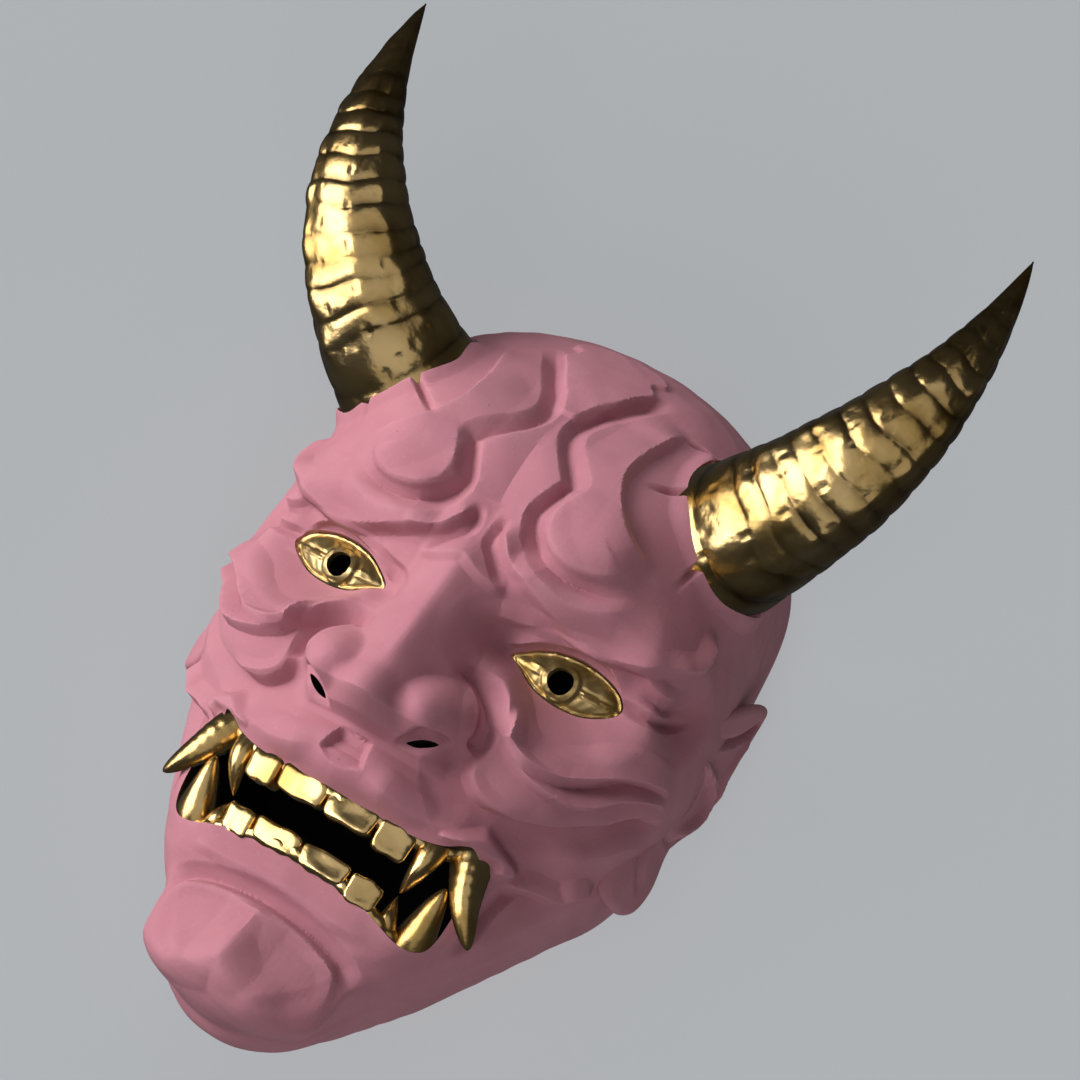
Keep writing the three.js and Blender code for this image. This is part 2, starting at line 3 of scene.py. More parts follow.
import bmesh
import bpy
import numpy as np
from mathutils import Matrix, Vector

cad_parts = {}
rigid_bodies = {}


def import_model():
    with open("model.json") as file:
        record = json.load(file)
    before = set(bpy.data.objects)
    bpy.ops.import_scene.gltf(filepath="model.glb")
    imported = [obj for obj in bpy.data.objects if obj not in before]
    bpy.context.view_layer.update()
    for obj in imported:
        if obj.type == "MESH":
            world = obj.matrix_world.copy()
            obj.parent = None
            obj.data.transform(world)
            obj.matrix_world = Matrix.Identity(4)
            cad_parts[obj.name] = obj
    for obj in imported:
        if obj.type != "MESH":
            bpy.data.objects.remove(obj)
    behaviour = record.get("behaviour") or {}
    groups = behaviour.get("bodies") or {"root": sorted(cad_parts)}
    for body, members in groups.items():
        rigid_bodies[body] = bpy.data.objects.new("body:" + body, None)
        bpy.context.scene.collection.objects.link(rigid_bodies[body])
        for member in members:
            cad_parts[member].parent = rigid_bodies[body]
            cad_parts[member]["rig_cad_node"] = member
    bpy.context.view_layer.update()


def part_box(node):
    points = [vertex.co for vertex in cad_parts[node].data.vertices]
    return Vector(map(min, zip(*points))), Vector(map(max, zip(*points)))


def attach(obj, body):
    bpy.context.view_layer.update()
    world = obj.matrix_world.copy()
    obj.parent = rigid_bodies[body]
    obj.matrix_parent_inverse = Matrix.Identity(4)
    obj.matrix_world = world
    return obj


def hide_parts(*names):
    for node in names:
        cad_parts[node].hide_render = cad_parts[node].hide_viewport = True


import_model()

# The face. One thin hollow casting in pink resin, sanded by hand, its inside sprayed black. It lies on
# its rim. Sizes are millimetres: x to the viewer's right, y to the crown, z out of the face, and the
# pupils are at y = 0. A smooth dome is laid out in unrolled places (s, t), then shaped and carved.
CROWN = 104.65     # y of the face's top edge
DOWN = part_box("mask_face")[1][1] * 1000 - CROWN  # from the mask's own y to the frame's
CENTRE = -12.0     # y of the dome's middle
FRONT = 80.0       # height of the dome there
SKIRT = 0.86       # share of the way out to the rim at which the dome turns into an upright skirt
WALL = 5           # thickness of the shell
# The sides, from under the chin round the viewer's right to the crown: the angle, how far out the widest
# place is, how far the skirt tucks in under it, the widest place's height, and how squarely it bends.
OUTLINE = np.array([
    (-90, 107, 0.12, 38, 2.6), (-68, 91, 0.18, 42, 2.9), (-55, 81.5, 0.15, 38, 2.7),
    (-44, 76.5, 0.1, 34, 2.3), (-29, 73, 0.04, 30, 2.1), (0, 73, 0.05, 30, 2.3),
    (31, 82, 0, 25, 2.4), (50, 101, 0, 22, 2.5), (67, 111, -0.01, 22, 2.5),
    (90, 113.5, -0.03, 22, 2.5)], float)
MIDDLE_WIDEST, MIDDLE_SQUARE = 32, 2.4  # the last two columns at the dome's middle
PINK, PINK_PATCH = (0.445, 0.176, 0.216), (0.495, 0.207, 0.249)
PINK_WORN, PINK_DUST, PINK_PIT = (0.66, 0.33, 0.385), (0.6, 0.3, 0.35), (0.2, 0.07, 0.09)
BLACK, BLACK_PATCH = (0.004, 0.0035, 0.0035), (0.014, 0.011, 0.012)


class Finish:
    """A surface finish, built up from nodes."""

    def __init__(self, name):
        self.material = bpy.data.materials.new(name)
        self.material.use_nodes = True
        self.tree = self.material.node_tree
        self.shader = self.tree.nodes["Principled BSDF"]
        self.place = self.node("ShaderNodeTexCoord").outputs["Object"]

    def node(self, kind, links=(), **values):
        made = self.tree.nodes.new(kind)
        for key, value in values.items():
            setattr(made, key, value)
        for socket, source in dict(links).items():
            self.join(source, made.inputs[socket])
        return made

    def join(self, source, socket):
        if isinstance(source, bpy.types.NodeSocket):
            self.tree.links.new(source, socket)
        elif isinstance(source, tuple) and socket.type == "RGBA":
            socket.default_value = (*source, 1)
        else:
            socket.default_value = source

    def noise(self, scale, detail, rough=0.55, place=None, distort=0.0):
        links = {"Scale": scale, "Detail": detail, "Roughness": rough, "Distortion": distort,
                 "Vector": place or self.place}
        return self.node("ShaderNodeTexNoise", links).outputs["Fac"]

    def drawn_out(self, scale, turn):
        links = {"Vector": self.place, "Scale": scale, "Rotation": turn}
        return self.node("ShaderNodeMapping", links).outputs[0]

    def times(self, a, b):
        return self.node("ShaderNodeMath", {0: a, 1: b}, operation="MULTIPLY").outputs[0]

    def between(self, value, low, high, to_low=0.0, to_high=1.0):
        links = {"Value": value, "From Min": low, "From Max": high, "To Min": to_low,
                 "To Max": to_high}
        return self.node("ShaderNodeMapRange", links, clamp=True).outputs[0]

    def pointed(self, low, high, to_low=0.0, to_high=1.0):
        """How far a place stands out on an edge, or lies in a hollow."""
        pointiness = self.node("ShaderNodeNewGeometry").outputs["Pointiness"]
        return self.between(pointiness, low, high, to_low, to_high)

    def mix(self, share, a, b):
        return self.node("ShaderNodeMix", {0: share, 6: a, 7: b}, data_type="RGBA").outputs[2]

    def bump(self, height, distance, strength, after=None):
        links = {"Height": height, "Distance": distance, "Strength": strength}
        if after is not None:
            links["Normal"] = after
        return self.node("ShaderNodeBump", links).outputs[0]

    def into(self, socket, value):
        self.join(value, self.shader.inputs[socket])


resin = Finish("pink_resin")
patch = resin.noise(28, 4, 0.6)
worn = resin.pointed(0.5, 0.56)
dust = resin.noise(900, 2, 0.5)
cell = resin.node("ShaderNodeTexVoronoi", {"Vector": resin.place, "Scale": 120.0})
draw = resin.node("ShaderNodeSeparateColor", {"Color": cell.outputs["Color"]}).outputs[0]
few = resin.between(draw, 0.66, 0.68)
pit = resin.times(resin.between(cell.outputs["Distance"], 0.03, 0.05, 1, 0), few)
colour = resin.mix(resin.between(patch, 0.35, 0.68), PINK, PINK_PATCH)
colour = resin.mix(resin.times(worn, 0.22), colour, PINK_WORN)
colour = resin.mix(resin.between(dust, 0.62, 0.75, 0, 0.2), colour, PINK_DUST)
resin.into("Base Color", resin.mix(resin.times(pit, 0.45), colour, PINK_PIT))
resin.into("Roughness", resin.between(resin.noise(60, 3), 0.3, 0.7, 0.5, 0.64))
resin.into("Specular IOR Level", 0.42)
# sanding marks two ways, the grain and the pits
sanded = resin.noise(150, 3, 0.6, resin.drawn_out((1, 9, 3), (0, 0, 0.5)))
sanded_across = resin.noise(90, 4, 0.6, resin.drawn_out((14, 0.7, 2), (0, 0, -0.7)))
normal = resin.bump(sanded, 0.0002, 0.4)
normal = resin.bump(sanded_across, 0.0002, 0.3, normal)
normal = resin.bump(resin.noise(650, 4, 0.65), 0.0001, 0.45, normal)
resin.into("Normal", resin.bump(pit, 0.0003, -0.6, normal))

black = Finish("black_inside")
blotch = black.noise(40, 4, 0.6)
black.into("Base Color", black.mix(blotch, BLACK, BLACK_PATCH))
black.into("Roughness", black.between(blotch, 0.3, 0.7, 0.7, 0.9))
black.into("Specular IOR Level", 0.2)
black.into("Normal", black.bump(black.noise(220, 4, 0.6), 0.0006, 0.6))


def round_the_face(column):
    """A smooth curve round the face through one column of the outline, for angles in degrees."""
    left = OUTLINE[-2:0:-1].copy()
    left[:, 0] = 180 - left[:, 0]
    rows = np.vstack([OUTLINE, left])
    rows = rows[np.argsort(rows[:, 0])]
    angle = np.concatenate([rows[:, 0] - 360, rows[:, 0], rows[:, 0] + 360])
    value = np.tile(rows[:, column], 3)
    slope = np.zeros(len(angle))
    slope[1:-1] = (value[2:] - value[:-2]) / (angle[2:] - angle[:-2])

    def at(q):
        i = np.clip(np.searchsorted(angle, q) - 1, 0, len(angle) - 2)
        wide = angle[i + 1] - angle[i]
        x = (q - angle[i]) / wide
        bend = wide * x * (1 - x) * (slope[i] * (1 - x) - slope[i + 1] * x)
        return value[i] * (1 + 2 * x) * (1 - x) ** 2 + value[i + 1] * x * x * (3 - 2 * x) + bend
    return at


reach_at, tuck_at, widest_at, square_at = [round_the_face(column) for column in (1, 2, 3, 4)]


def dome(s, t):
    """The bare dome's points at unrolled places, and each one's share of the way to the rim."""
    dy = t - CENTRE
    turn = np.arctan2(dy, s)
    angle = np.degrees(turn)
    reach = reach_at(angle)
    rho = np.minimum(np.hypot(s, dy) / (reach * np.pi / 2 / SKIRT), 1)
    lean = np.minimum(rho / SKIRT, 1) * np.pi / 2
    skirt = np.clip((rho - SKIRT) / (1 - SKIRT), 0, 1)
    square = MIDDLE_SQUARE + (square_at(angle) - MIDDLE_SQUARE) * np.minimum(rho / 0.4, 1) ** 2
    bulge = (np.sin(lean) ** square + np.abs(np.cos(lean)) ** square) ** (-1 / square)
    lateral = reach * bulge * np.sin(lean) * (1 - tuck_at(angle) * skirt ** 1.4)
    widest = MIDDLE_WIDEST + (widest_at(angle) - MIDDLE_WIDEST) * np.minimum(rho / 0.5, 1) ** 2
    z = widest * (1 - skirt) + (FRONT - widest) * bulge * np.cos(lean)
    return np.stack([lateral * np.cos(turn), CENTRE + lateral * np.sin(turn), z], -1), rho


def face_grid(across, along):
    """Unrolled places of a square grid that fills the whole face, closest together in the middle."""
    u, v = np.meshgrid(np.linspace(-1, 1, across), np.linspace(-1, 1, along))
    p = u * np.sqrt(1 - v * v / 2)
    q = v * np.sqrt(1 - u * u / 2)
    flat = np.minimum(np.hypot(p, q), 1)
    turn = np.arctan2(q, p)
    rho = (1 - CROWDING) * flat + CROWDING * flat ** 3
    r = rho * reach_at(np.degrees(turn)) * np.pi / 2 / SKIRT
    return r * np.cos(turn), CENTRE + r * np.sin(turn)


def ease(x):
    """Runs smoothly from 0 to 1 as x does."""
    x = np.clip(x, 0, 1)
    return x * x * (3 - 2 * x)


def curve_through(points, steps=6, closed=False):
    """Points of a smooth curve that passes through the given ones."""
    p = np.array(points, float)
    if closed:
        p = np.vstack([p[-1], p, p[0], p[1]])
    else:
        p = np.vstack([2 * p[0] - p[1], p, 2 * p[-1] - p[-2]])
    out = []
    for a, b, c, d in zip(p[:-3], p[1:-2], p[2:-1], p[3:]):
        for x in np.arange(steps) / steps:
            bend = (2 * a - 5 * b + 4 * c - d) * x * x + (3 * b - a - 3 * c + d) * x ** 3
            out.append(0.5 * (2 * b + (c - a) * x + bend))
    return np.array(out if closed else out + [p[-2]])


def grid_normals(points):
    cross = np.cross(np.gradient(points, axis=1), np.gradient(points, axis=0))
    return cross / (np.linalg.norm(cross, axis=-1, keepdims=True) + 1e-12)


def both_halves(half):
    """A closed outline from the half of it on the viewer's right."""
    return half + [(-x, y) for x, y in half[::-1] if x > 0]


def profile(t, steps):
    """A height or width that changes with t, from pairs of t and value."""
    return np.interp(t, *zip(*steps))


def hump(s, t, at, size, turn, full):
    """A smooth swelling, 1 high, that ends in an ellipse. The fuller it is, the steeper its sides."""
    a = np.radians(turn)
    p = ((s - at[0]) * np.cos(a) + (t - at[1]) * np.sin(a)) / size[0]
    q = ((t - at[1]) * np.cos(a) - (s - at[0]) * np.sin(a)) / size[1]
    return np.clip(1 - np.hypot(p, q) ** full, 0, 1) ** 2


def beside(s, t, line, reach):
    """Signed distance to a curve, positive on its left, and the nearest place's share of its length."""
    c = curve_through(line)
    lengths = np.hypot(*(c[1:] - c[:-1]).T)
    total = np.concatenate([[0], np.cumsum(lengths)])
    near = (s > c[:, 0].min() - reach) & (s < c[:, 0].max() + reach)
    near &= (t > c[:, 1].min() - reach) & (t < c[:, 1].max() + reach)
    x, y = s[near], t[near]
    best, side, share = np.full(x.shape, 1e9), np.ones(x.shape), np.zeros(x.shape)
    for a, b, length, before in zip(c[:-1], c[1:], lengths, total):
        d = b - a
        m = np.abs(x - (a[0] + b[0]) / 2) < reach + length
        m &= np.abs(y - (a[1] + b[1]) / 2) < reach + length
        px, py = x[m] - a[0], y[m] - a[1]
        k = np.clip((px * d[0] + py * d[1]) / length ** 2, 0, 1)
        away = np.hypot(px - k * d[0], py - k * d[1])
        closer = away < best[m]
        best[m] = np.where(closer, away, best[m])
        side[m] = np.where(closer, np.where(d[0] * py - d[1] * px >= 0, 1, -1), side[m])
        share[m] = np.where(closer, (before + k * length) / total[-1], share[m])
    distance, along = np.full(s.shape, 1e9), np.zeros(s.shape)
    distance[near] = best * side
    along[near] = share
    return distance, along


def fold(s, t, line, height, left, right, fade, crisp):
    """A crest, or a groove where the height is below 0, that falls away to the left and the right."""
    d, share = beside(s, t, line, max(left, right))
    x = np.clip(np.where(d >= 0, d / left, -d / right), 0, 1)
    fall = crisp * (1 - x) + (1 - crisp) * (1 - ease(x))
    start = ease(share / fade[0]) if fade[0] > 0 else 1
    end = ease((1 - share) / fade[1]) if fade[1] > 0 else 1
    return height * fall * start * end


def inside(s, t, outline):
    """Distance inside a closed outline, negative outside it."""
    c = curve_through(outline, 6, closed=True)
    out = np.full(s.shape, -9.0)
    near = (s > c[:, 0].min() - 5) & (s < c[:, 0].max() + 5)
    near &= (t > c[:, 1].min() - 5) & (t < c[:, 1].max() + 5)
    x, y = s[near], t[near]
    best, odd = np.full(x.shape, 1e9), np.zeros(x.shape, bool)
    for a, b in zip(c, np.roll(c, -1, axis=0)):
        d = b - a
        k = np.clip(((x - a[0]) * d[0] + (y - a[1]) * d[1]) / (d @ d + 1e-12), 0, 1)
        best = np.minimum(best, np.hypot(x - a[0] - k * d[0], y - a[1] - k * d[1]))
        if a[1] != b[1]:
            odd ^= ((a[1] > y) != (b[1] > y)) & (x < a[0] + (y - a[1]) / d[1] * d[0])
    out[near] = np.where(odd, best, -best)
    return out


def step_up(s, t, outline, before, over):
    """1 inside an outline and 0 outside it: it starts a little before the line and rises over a width."""
    return ease((inside(s, t, outline) + before) / over)


# The big forms that both halves have: the height, the middle, the reach across and up, the turn in
# degrees and how full it is.
UPPER_FORMS = [
    (-12, (37, 0), (33, 21), 4, 2.3),    # socket of the eye
    (-3, (19, 2), (10, 9), 0, 2.0),      # inner corner of the socket
    (8, (22, 40), (40, 34), -15, 2.0),   # brow
    (3.5, (62, 24), (22, 16), 20, 2.0),  # outer end of the brow
    (3, (0, 46), (24, 26), 0, 2.0),      # middle of the forehead
    (-5, (78, 12), (15, 17), 0, 2.0),    # temple
    (4, (56, 62), (34, 34), 0, 2.0)]     # mound under the horn
LOWER_FORMS = [
    (4, (0, -30), (11, 9), 0, 2.3),      # tip of the nose
    (9, (17, -25), (11, 11), -20, 2.6),  # wing of the nose
    (4, (48, -31), (30, 15), 12, 2.0),   # cheek
    (7, (0, -46), (28, 11), 0, 2.5),     # upper lip
    (-3, (12, -64), (46, 26), 0, 2.5),   # round the mouth
    (-3, (58, -56), (20, 24), 0, 2.3),   # hollow of the jaw
    (8.5, (0, -107), (41, 24), 0, 2.7),  # chin
    (8, (0, -131), (46, 32), 0, 2.3)]    # under the chin
# The ridge of the nose, from its foot to the brow: its rise, its width and how blunt its top is.
NOSE_RISE = [(-39, 0), (-37, 3), (-34.5, 11), (-30, 17), (-24, 16), (-12, 12), (0, 9), (13, 6), (24, 1),
             (30, 0)]
NOSE_WIDE = [(-40, 19), (-30, 19), (-12, 15), (13, 11), (24, 10)]
NOSE_BLUNT = [(-30, 6), (-16, 2)]
CHIN_RIM = [(0, -104), (9, -106), (18, -109.5), (27, -113)]


def masses(s, t):
    """Height of the big forms over the bare dome."""
    a = np.abs(s)
    h = np.zeros(s.shape)
    for height, at, size, turn, full in UPPER_FORMS:
        h += height * hump(a, t, at, size, turn, full)
    blunt = profile(t, NOSE_BLUNT)
    from_ridge = np.sqrt(a * a + blunt ** 2) - blunt
    h += profile(t, NOSE_RISE) * np.clip(1 - from_ridge / profile(t, NOSE_WIDE), 0, 1) ** 1.15
    for height, at, size, turn, full in LOWER_FORMS:
        h += height * hump(a, t, at, size, turn, full)
    h += fold(a, t, CHIN_RIM, 5.5, 15, 17, (0, 0.12), 0.25)
    return h


# Crests and grooves that both halves have: the line, its height, how far it falls to the left and to the
# right of its own heading, how it fades at its two ends, and how crisp it is.
FOLDS = [
    # forehead: the long channel, the curl under it, the step round the horn mound and the horn's collar
    ([(21, 97), (16, 87.6), (11, 78), (7.4, 72), (4.7, 64.5), (4.7, 59), (6.6, 54), (10.4, 48.5),
     (14.3, 43.3)], -2.4, 4.6, 3.0, (0.2, 0.0), 0.8),
    ([(14.8, 42.5), (11.8, 36.2), (10.1, 32), (11.1, 28.6), (13.3, 25.6), (16.6, 23), (20.5, 21.4),
     (24.4, 20.6), (28.5, 20.7), (32, 21.4), (36, 22.8), (39.5, 25.5), (40, 29)],
     -2.9, 3.6, 2.8, (0.0, 0.3), 0.95),
    ([(30.8, 86), (27.3, 73.7), (25, 65), (23.9, 57), (23.8, 52), (25, 48), (26.8, 44.3),
     (30, 39.8), (33.2, 37), (37.5, 35.2), (43, 34.4)], 2.3, 2.2, 12, (0.2, 0.15), 0.85),
    ([(41, 87), (39, 68), (41, 56), (45, 51), (53, 46), (62, 46), (76, 52), (86, 66)],
     1.7, 9, 5, (0.1, 0.1), 0.4),
    # brow crest and the valley beside the bridge
    ([(10.2, 19.4), (15, 17.5), (20, 16), (28, 14.6), (37, 14), (45, 14.4), (51, 15.3),
     (57.3, 17.3), (66, 23)], 3.1, 14, 3.4, (0.15, 0.25), 0.75),
    ([(5.5, 28.6), (6.2, 25.5), (7.8, 22.5), (10.2, 19.4), (15, 17.5), (20, 16)],
     2.0, 4, 2.6, (0.25, 0.45), 0.8),
    ([(57.3, 17.3), (65, 22.4), (68.4, 26.6), (69, 33), (68.2, 39.5)], 2.2, 5, 3, (0.3, 0.25), 0.7),
    ([(4.7, 28.9), (3.3, 23.5), (3.9, 20.4), (6.2, 17.8), (9.6, 14), (12.2, 11.6)],
     -1.6, 3, 2.6, (0.2, 0.2), 0.9),
    ([(0, 13.8), (6.5, 11.4), (13.8, 11.5)], 1.4, 7, 2.2, (0, 0.3), 0.7),
    # upper lid, with the crest over it, and the creases at the eye's corners
    ([(9, 1), (14, 6.5), (21, 8.7), (28, 10.4), (36, 12.2), (44, 13.3), (52, 13.7), (56, 14),
     (60, 12.5), (65, 12.8), (70, 15.8), (71.6, 19.6)], 1.1, 3.2, 2.0, (0.15, 0.15), 0.9),
    ([(17, 1.2), (23, 5.2), (28, 7.9), (34, 10), (39, 11.5), (45, 11.7), (50, 10.6), (54, 8),
     (56, 5)], 1.7, 3.0, 1.5, (0.15, 0.2), 0.8),
    ([(53, 3), (57.9, 4.3), (62.8, 4.2), (69, 5.5), (78, 9.7), (82.4, 13.9), (84, 18)],
     -1.5, 2.0, 2.4, (0.2, 0.3), 0.9),
    ([(58, 9), (64, 9), (70, 10.5), (75, 14), (77, 18)], -0.9, 1.8, 1.8, (0.25, 0.3), 0.9),
    ([(26.5, -14.6), (23.2, -12.5), (17, -12.2), (12, -9)], -0.9, 1.5, 2.5, (0.3, 0.3), 0.8),
    # wing of the nose
    ([(12, -13), (15, -11.9), (19, -11.4), (22.6, -13.4), (25.6, -16.8), (27.6, -21.3), (28, -24.4),
     (27.3, -27.3), (26.5, -30.6)], -2.6, 3.2, 3.0, (0.25, 0.15), 0.95),
    # the two swept folds of the cheek, the bulb under them and the groove under the bulb
    ([(15.5, -11.4), (19, -10), (23.5, -10.8), (27.5, -14.4), (30.5, -18.2), (34, -21.4),
     (38.2, -24), (42.3, -24.4), (48, -23.6), (52.6, -22), (58, -19), (63, -15), (68, -12.4),
     (75, -10.2), (82.5, -8.8), (93, -8.2)], 3.0, 9, 2.1, (0.12, 0.2), 0.9),
    ([(30.5, -14), (31.8, -17.5), (33, -20.6), (35, -24), (38, -25.8), (42, -27.2), (47, -27.8),
     (53, -27.8), (56, -27.3), (61, -25.3), (66, -22), (71, -18.5), (78, -15.4), (86.5, -13.2),
     (94.4, -13)], 2.6, 4.5, 1.7, (0.1, 0.2), 0.95),
    ([(28.2, -24.5), (26.6, -29), (26.3, -34), (28.6, -37.2), (31.6, -39.6), (35.7, -41),
     (40.5, -41.3), (46.2, -41), (52, -39.6), (58, -37.4), (65, -33.7), (74, -29.4), (80, -25.2),
     (88, -21.5), (100, -18.7)], -2.8, 2.8, 10, (0.12, 0.15), 0.6),
    ([(31, -26), (30, -32.3), (32.6, -35.3), (36.5, -37), (41.4, -37.6), (48, -36.5)],
     0.7, 3, 1.6, (0.3, 0.3), 0.9),
    # crease outside the mouth's corner, the crescent of the jaw and the crease down from it
    ([(36.7, -42), (40, -43.4), (42.8, -44.2), (48.7, -47.5), (57.3, -51.2)],
     -1.0, 1.6, 1.8, (0.3, 0.3), 0.9),
    ([(55, -57.4), (63.6, -57), (69, -57.2), (75.4, -56.9), (78, -53.4), (82.7, -51), (86, -48)],
     2.4, 6, 2.8, (0.2, 0.15), 0.85),
    ([(61, -57.7), (59.2, -61.6), (57.2, -65.9), (55.4, -71.1), (52, -85)],
     -1.7, 3, 5, (0.15, 0.3), 0.8),
    # upper lip, lower lip, the crease under it and the arch of the chin
    ([(6.8, -45.9), (11.7, -47.1), (20, -48.1), (28.3, -48.2), (35.5, -47), (40, -45)],
     1.6, 6, 5.0, (0.2, 0.25), 0.85),
    ([(0, -81.2), (9.6, -81.4), (16.7, -81.7), (22.5, -82), (30, -84)], 0.9, 4, 3, (0, 0.3), 0.8),
    ([(0, -86), (5, -86.3), (10.4, -86.9), (17, -88.4), (24, -92.4), (30.3, -100.2)],
     -1.9, 4, 2.5, (0, 0.25), 0.9),
    ([(0, -88.2), (6.7, -88.4), (13, -89.4), (18.5, -91.8), (22.7, -95), (24.2, -99),
     (24.3, -103.4), (22.5, -108)], 0.9, 2.0, 3, (0, 0.4), 0.9)]

# Fine tears in the collars, which differ from side to side: the side, the line, the depth.
TEARS = [
    (1, [(28, 54), (34, 57), (42, 61)], 2.2),
    (1, [(29, 82.2), (35, 83), (43, 83.6)], 2.0),
    (1, [(49.4, 34.5), (50.4, 40), (51.7, 47)], 2.0),
    (-1, [(24, 41), (36, 50.2), (42, 55)], 2.2),
    (-1, [(50, 35), (51, 40), (52, 47)], 0.8)]

# Outlines that are raised or sunk: the tab on the crown, the lobe at the mouth's corner, the nostril and
# the hollowed facets of the chin, which meet in a keel and end in a lower crest.
TAB = [(0, 112), (12, 110), (17, 103), (13, 98), (16, 92), (12, 85), (8, 75), (4, 66)]
LOBE = [(31, -50), (34, -48), (39, -46), (43, -45.5), (48.7, -48), (55, -51), (56.8, -53.5),
        (55, -55.6), (50, -55.2), (47, -52)]
NOSTRIL_CUP = [(9.8, -35.6), (12.5, -32), (14.6, -30.4), (17.5, -29.2), (21.5, -28.6),
               (23.4, -29.8), (21, -32.8), (16.4, -35.6), (11.4, -36.4)]
FACET = [(0, -89.5), (7, -90), (13, -91.5), (19, -94.5), (22.5, -99), (23, -105), (18.2, -108.5),
         (13.9, -108.7), (7.5, -107), (2.5, -103.5), (0, -100)]
KEEL = [(0, -88.5), (0, -102)]
LOWER_CREST = [(0, -102), (6, -106), (13.9, -108.7), (20, -109)]
# The inner lobe of the brow with the fold along its edge, and the groove between nose and lip by its
# half width, downwards.
BROW_LOBE_EDGE = [(14.8, 44), (16, 38.5), (15.4, 33.5), (17, 28.8), (21, 26), (26, 25), (31, 25.8),
                  (35.5, 29), (37, 34)]
LIP_GROOVE = [(36, 3), (38, 4.8), (45.6, 6.7), (47.6, 3)]


def carving(s, t):
    """Height of the carved crests and grooves over the big forms."""
    a = np.abs(s)
    h = 0.12 * np.sin(s * 0.31 + 1.3 * np.sin(t * 0.17)) * np.sin(t * 0.27 + 1.1 * np.sin(s * 0.13))
    groove = np.zeros(s.shape)
    for line, height, left, right, fade, crisp in FOLDS:
        shape = fold(a, t, line, height, left, right, fade, crisp)
        if height > 0:
            h += shape
        else:
            groove = np.minimum(groove, shape)
    h += groove
    for side, line, depth in TEARS:
        h -= fold(s * side, t, line, depth, 1.5, 1.5, (0.75, 0), 0.95)
    h += fold(a, t, BROW_LOBE_EDGE, 1.1, 9, 2.0, (0.1, 0.2), 0.9)
    h += 1.6 * hump(a, t, (26, 33), (15, 12), 0, 2.5)
    h += 0.9 * step_up(s, t, both_halves(TAB), 0.8, 1.6)
    h += 2.2 * step_up(a, t, LOBE, 1.2, 3.2)
    h -= 2.8 * step_up(a, t, NOSTRIL_CUP, 0.3, 2.4)
    across = ease((profile(-t, LIP_GROOVE) - a) / 2.0)
    h -= 2.2 * across * ease((-t - 38.5) / 1.2) * np.clip((48 + t) / 4, 0, 1)
    h -= 0.6 * step_up(a, t, FACET, 0.4, 8.0)
    h += fold(a, t, KEEL, 1.6, 9, 9, (0.1, 0), 1.0)
    h += fold(a, t, LOWER_CREST, 1.6, 8, 8, (0, 0.5), 0.9)
    return h


CROWDING = 0.5         # how much closer together the grid's lines are in the middle
CARVED = 1.3           # the carving is cut this much deeper than it is drawn
CALM_RIM = 0.08        # the relief dies out over this last share of the way to the rim
LINING_SHARE = 0.55    # the lining follows a swelling by this share, and a hollow fully
HORN_BACKING = (8, (54, 60), (30, 30), 0, 2.5)  # the wall is thicker behind a horn's socket


def sheet(across, along, lining=False):
    """A grid of points of the face's outside, or of its lining, which has the big forms alone."""
    s, t = face_grid(across, along)
    points, rho = dome(s, t)
    calm = ease((1 - rho) / CALM_RIM)
    normals = grid_normals(points)
    forms = masses(s, t)
    if lining:
        height, at, size, turn, full = HORN_BACKING
        follow = np.where(forms < 0, forms, LINING_SHARE * forms) * calm
        deep = follow - WALL - height * hump(np.abs(s), t, at, size, turn, full)
        points = points + normals * deep[..., None]
    else:
        points = points + normals * (forms * calm)[..., None]
        points = points + grid_normals(points) * (CARVED * carving(s, t) * calm)[..., None]
    points[rho > 0.9999, 2] = 0
    points[..., 2] = np.maximum(points[..., 2], 0)
    return points


def border(index):
    """The numbers round the edge of a grid, in order."""
    return np.concatenate([index[0, :-1], index[:-1, -1], index[-1, :0:-1], index[:0:-1, 0]])


def move_points(piece, points):
    """Puts a piece's points at places given in the mask's own millimetres."""
    placed = (np.asarray(points, float).reshape(-1, 3) + [0, DOWN, 0]) * 0.001
    piece.data.vertices.foreach_set("co", placed.ravel())
    piece.data.update()


SHEET = (501, 661)  # points of the outside's grid, across and along
COARSER = 4         # one step of the lining's grid for so many of the outside's
FACE_TRIANGLES = 150000
outer = sheet(*SHEET)
inner = sheet(*[(n - 1) // COARSER + 1 for n in SHEET], lining=True)
outer_index = np.arange(outer[..., 0].size).reshape(outer.shape[:2])
inner_index = outer_index.size + np.arange(inner[..., 0].size).reshape(inner.shape[:2])
outside, lining = [np.stack([m[:-1, :-1], m[:-1, 1:], m[1:, 1:], m[1:, :-1]], -1).reshape(-1, 4)
                   for m in (outer_index, inner_index)]
rim_out, rim_in = border(outer_index), border(inner_index)
steps = COARSER * np.arange(len(rim_in))
rim = np.stack([rim_in, np.roll(rim_in, -1)] + [rim_out[(steps + k) % len(rim_out)]
                                               for k in range(COARSER, -1, -1)], -1)
parts = [outside, lining[:, ::-1], rim]
counts = [len(part) for part in parts]
loops = np.concatenate([part.ravel() for part in parts])
sizes = np.repeat([part.shape[1] for part in parts], counts)
mesh = bpy.data.meshes.new("face")
mesh.vertices.add(outer_index.size + inner_index.size)
mesh.loops.add(len(loops))
mesh.loops.foreach_set("vertex_index", loops.astype(np.int32))
mesh.polygons.add(len(sizes))
mesh.polygons.foreach_set("loop_start", (np.cumsum(sizes) - sizes).astype(np.int32))
mesh.polygons.foreach_set("material_index", np.repeat([0, 1, 0], counts).astype(np.int32))
mesh.materials.append(resin.material)
mesh.materials.append(black.material)
face = bpy.data.objects.new("face", mesh)
bpy.context.collection.objects.link(face)
move_points(face, np.concatenate([outer.reshape(-1, 3), inner.reshape(-1, 3)]))
mesh.validate()


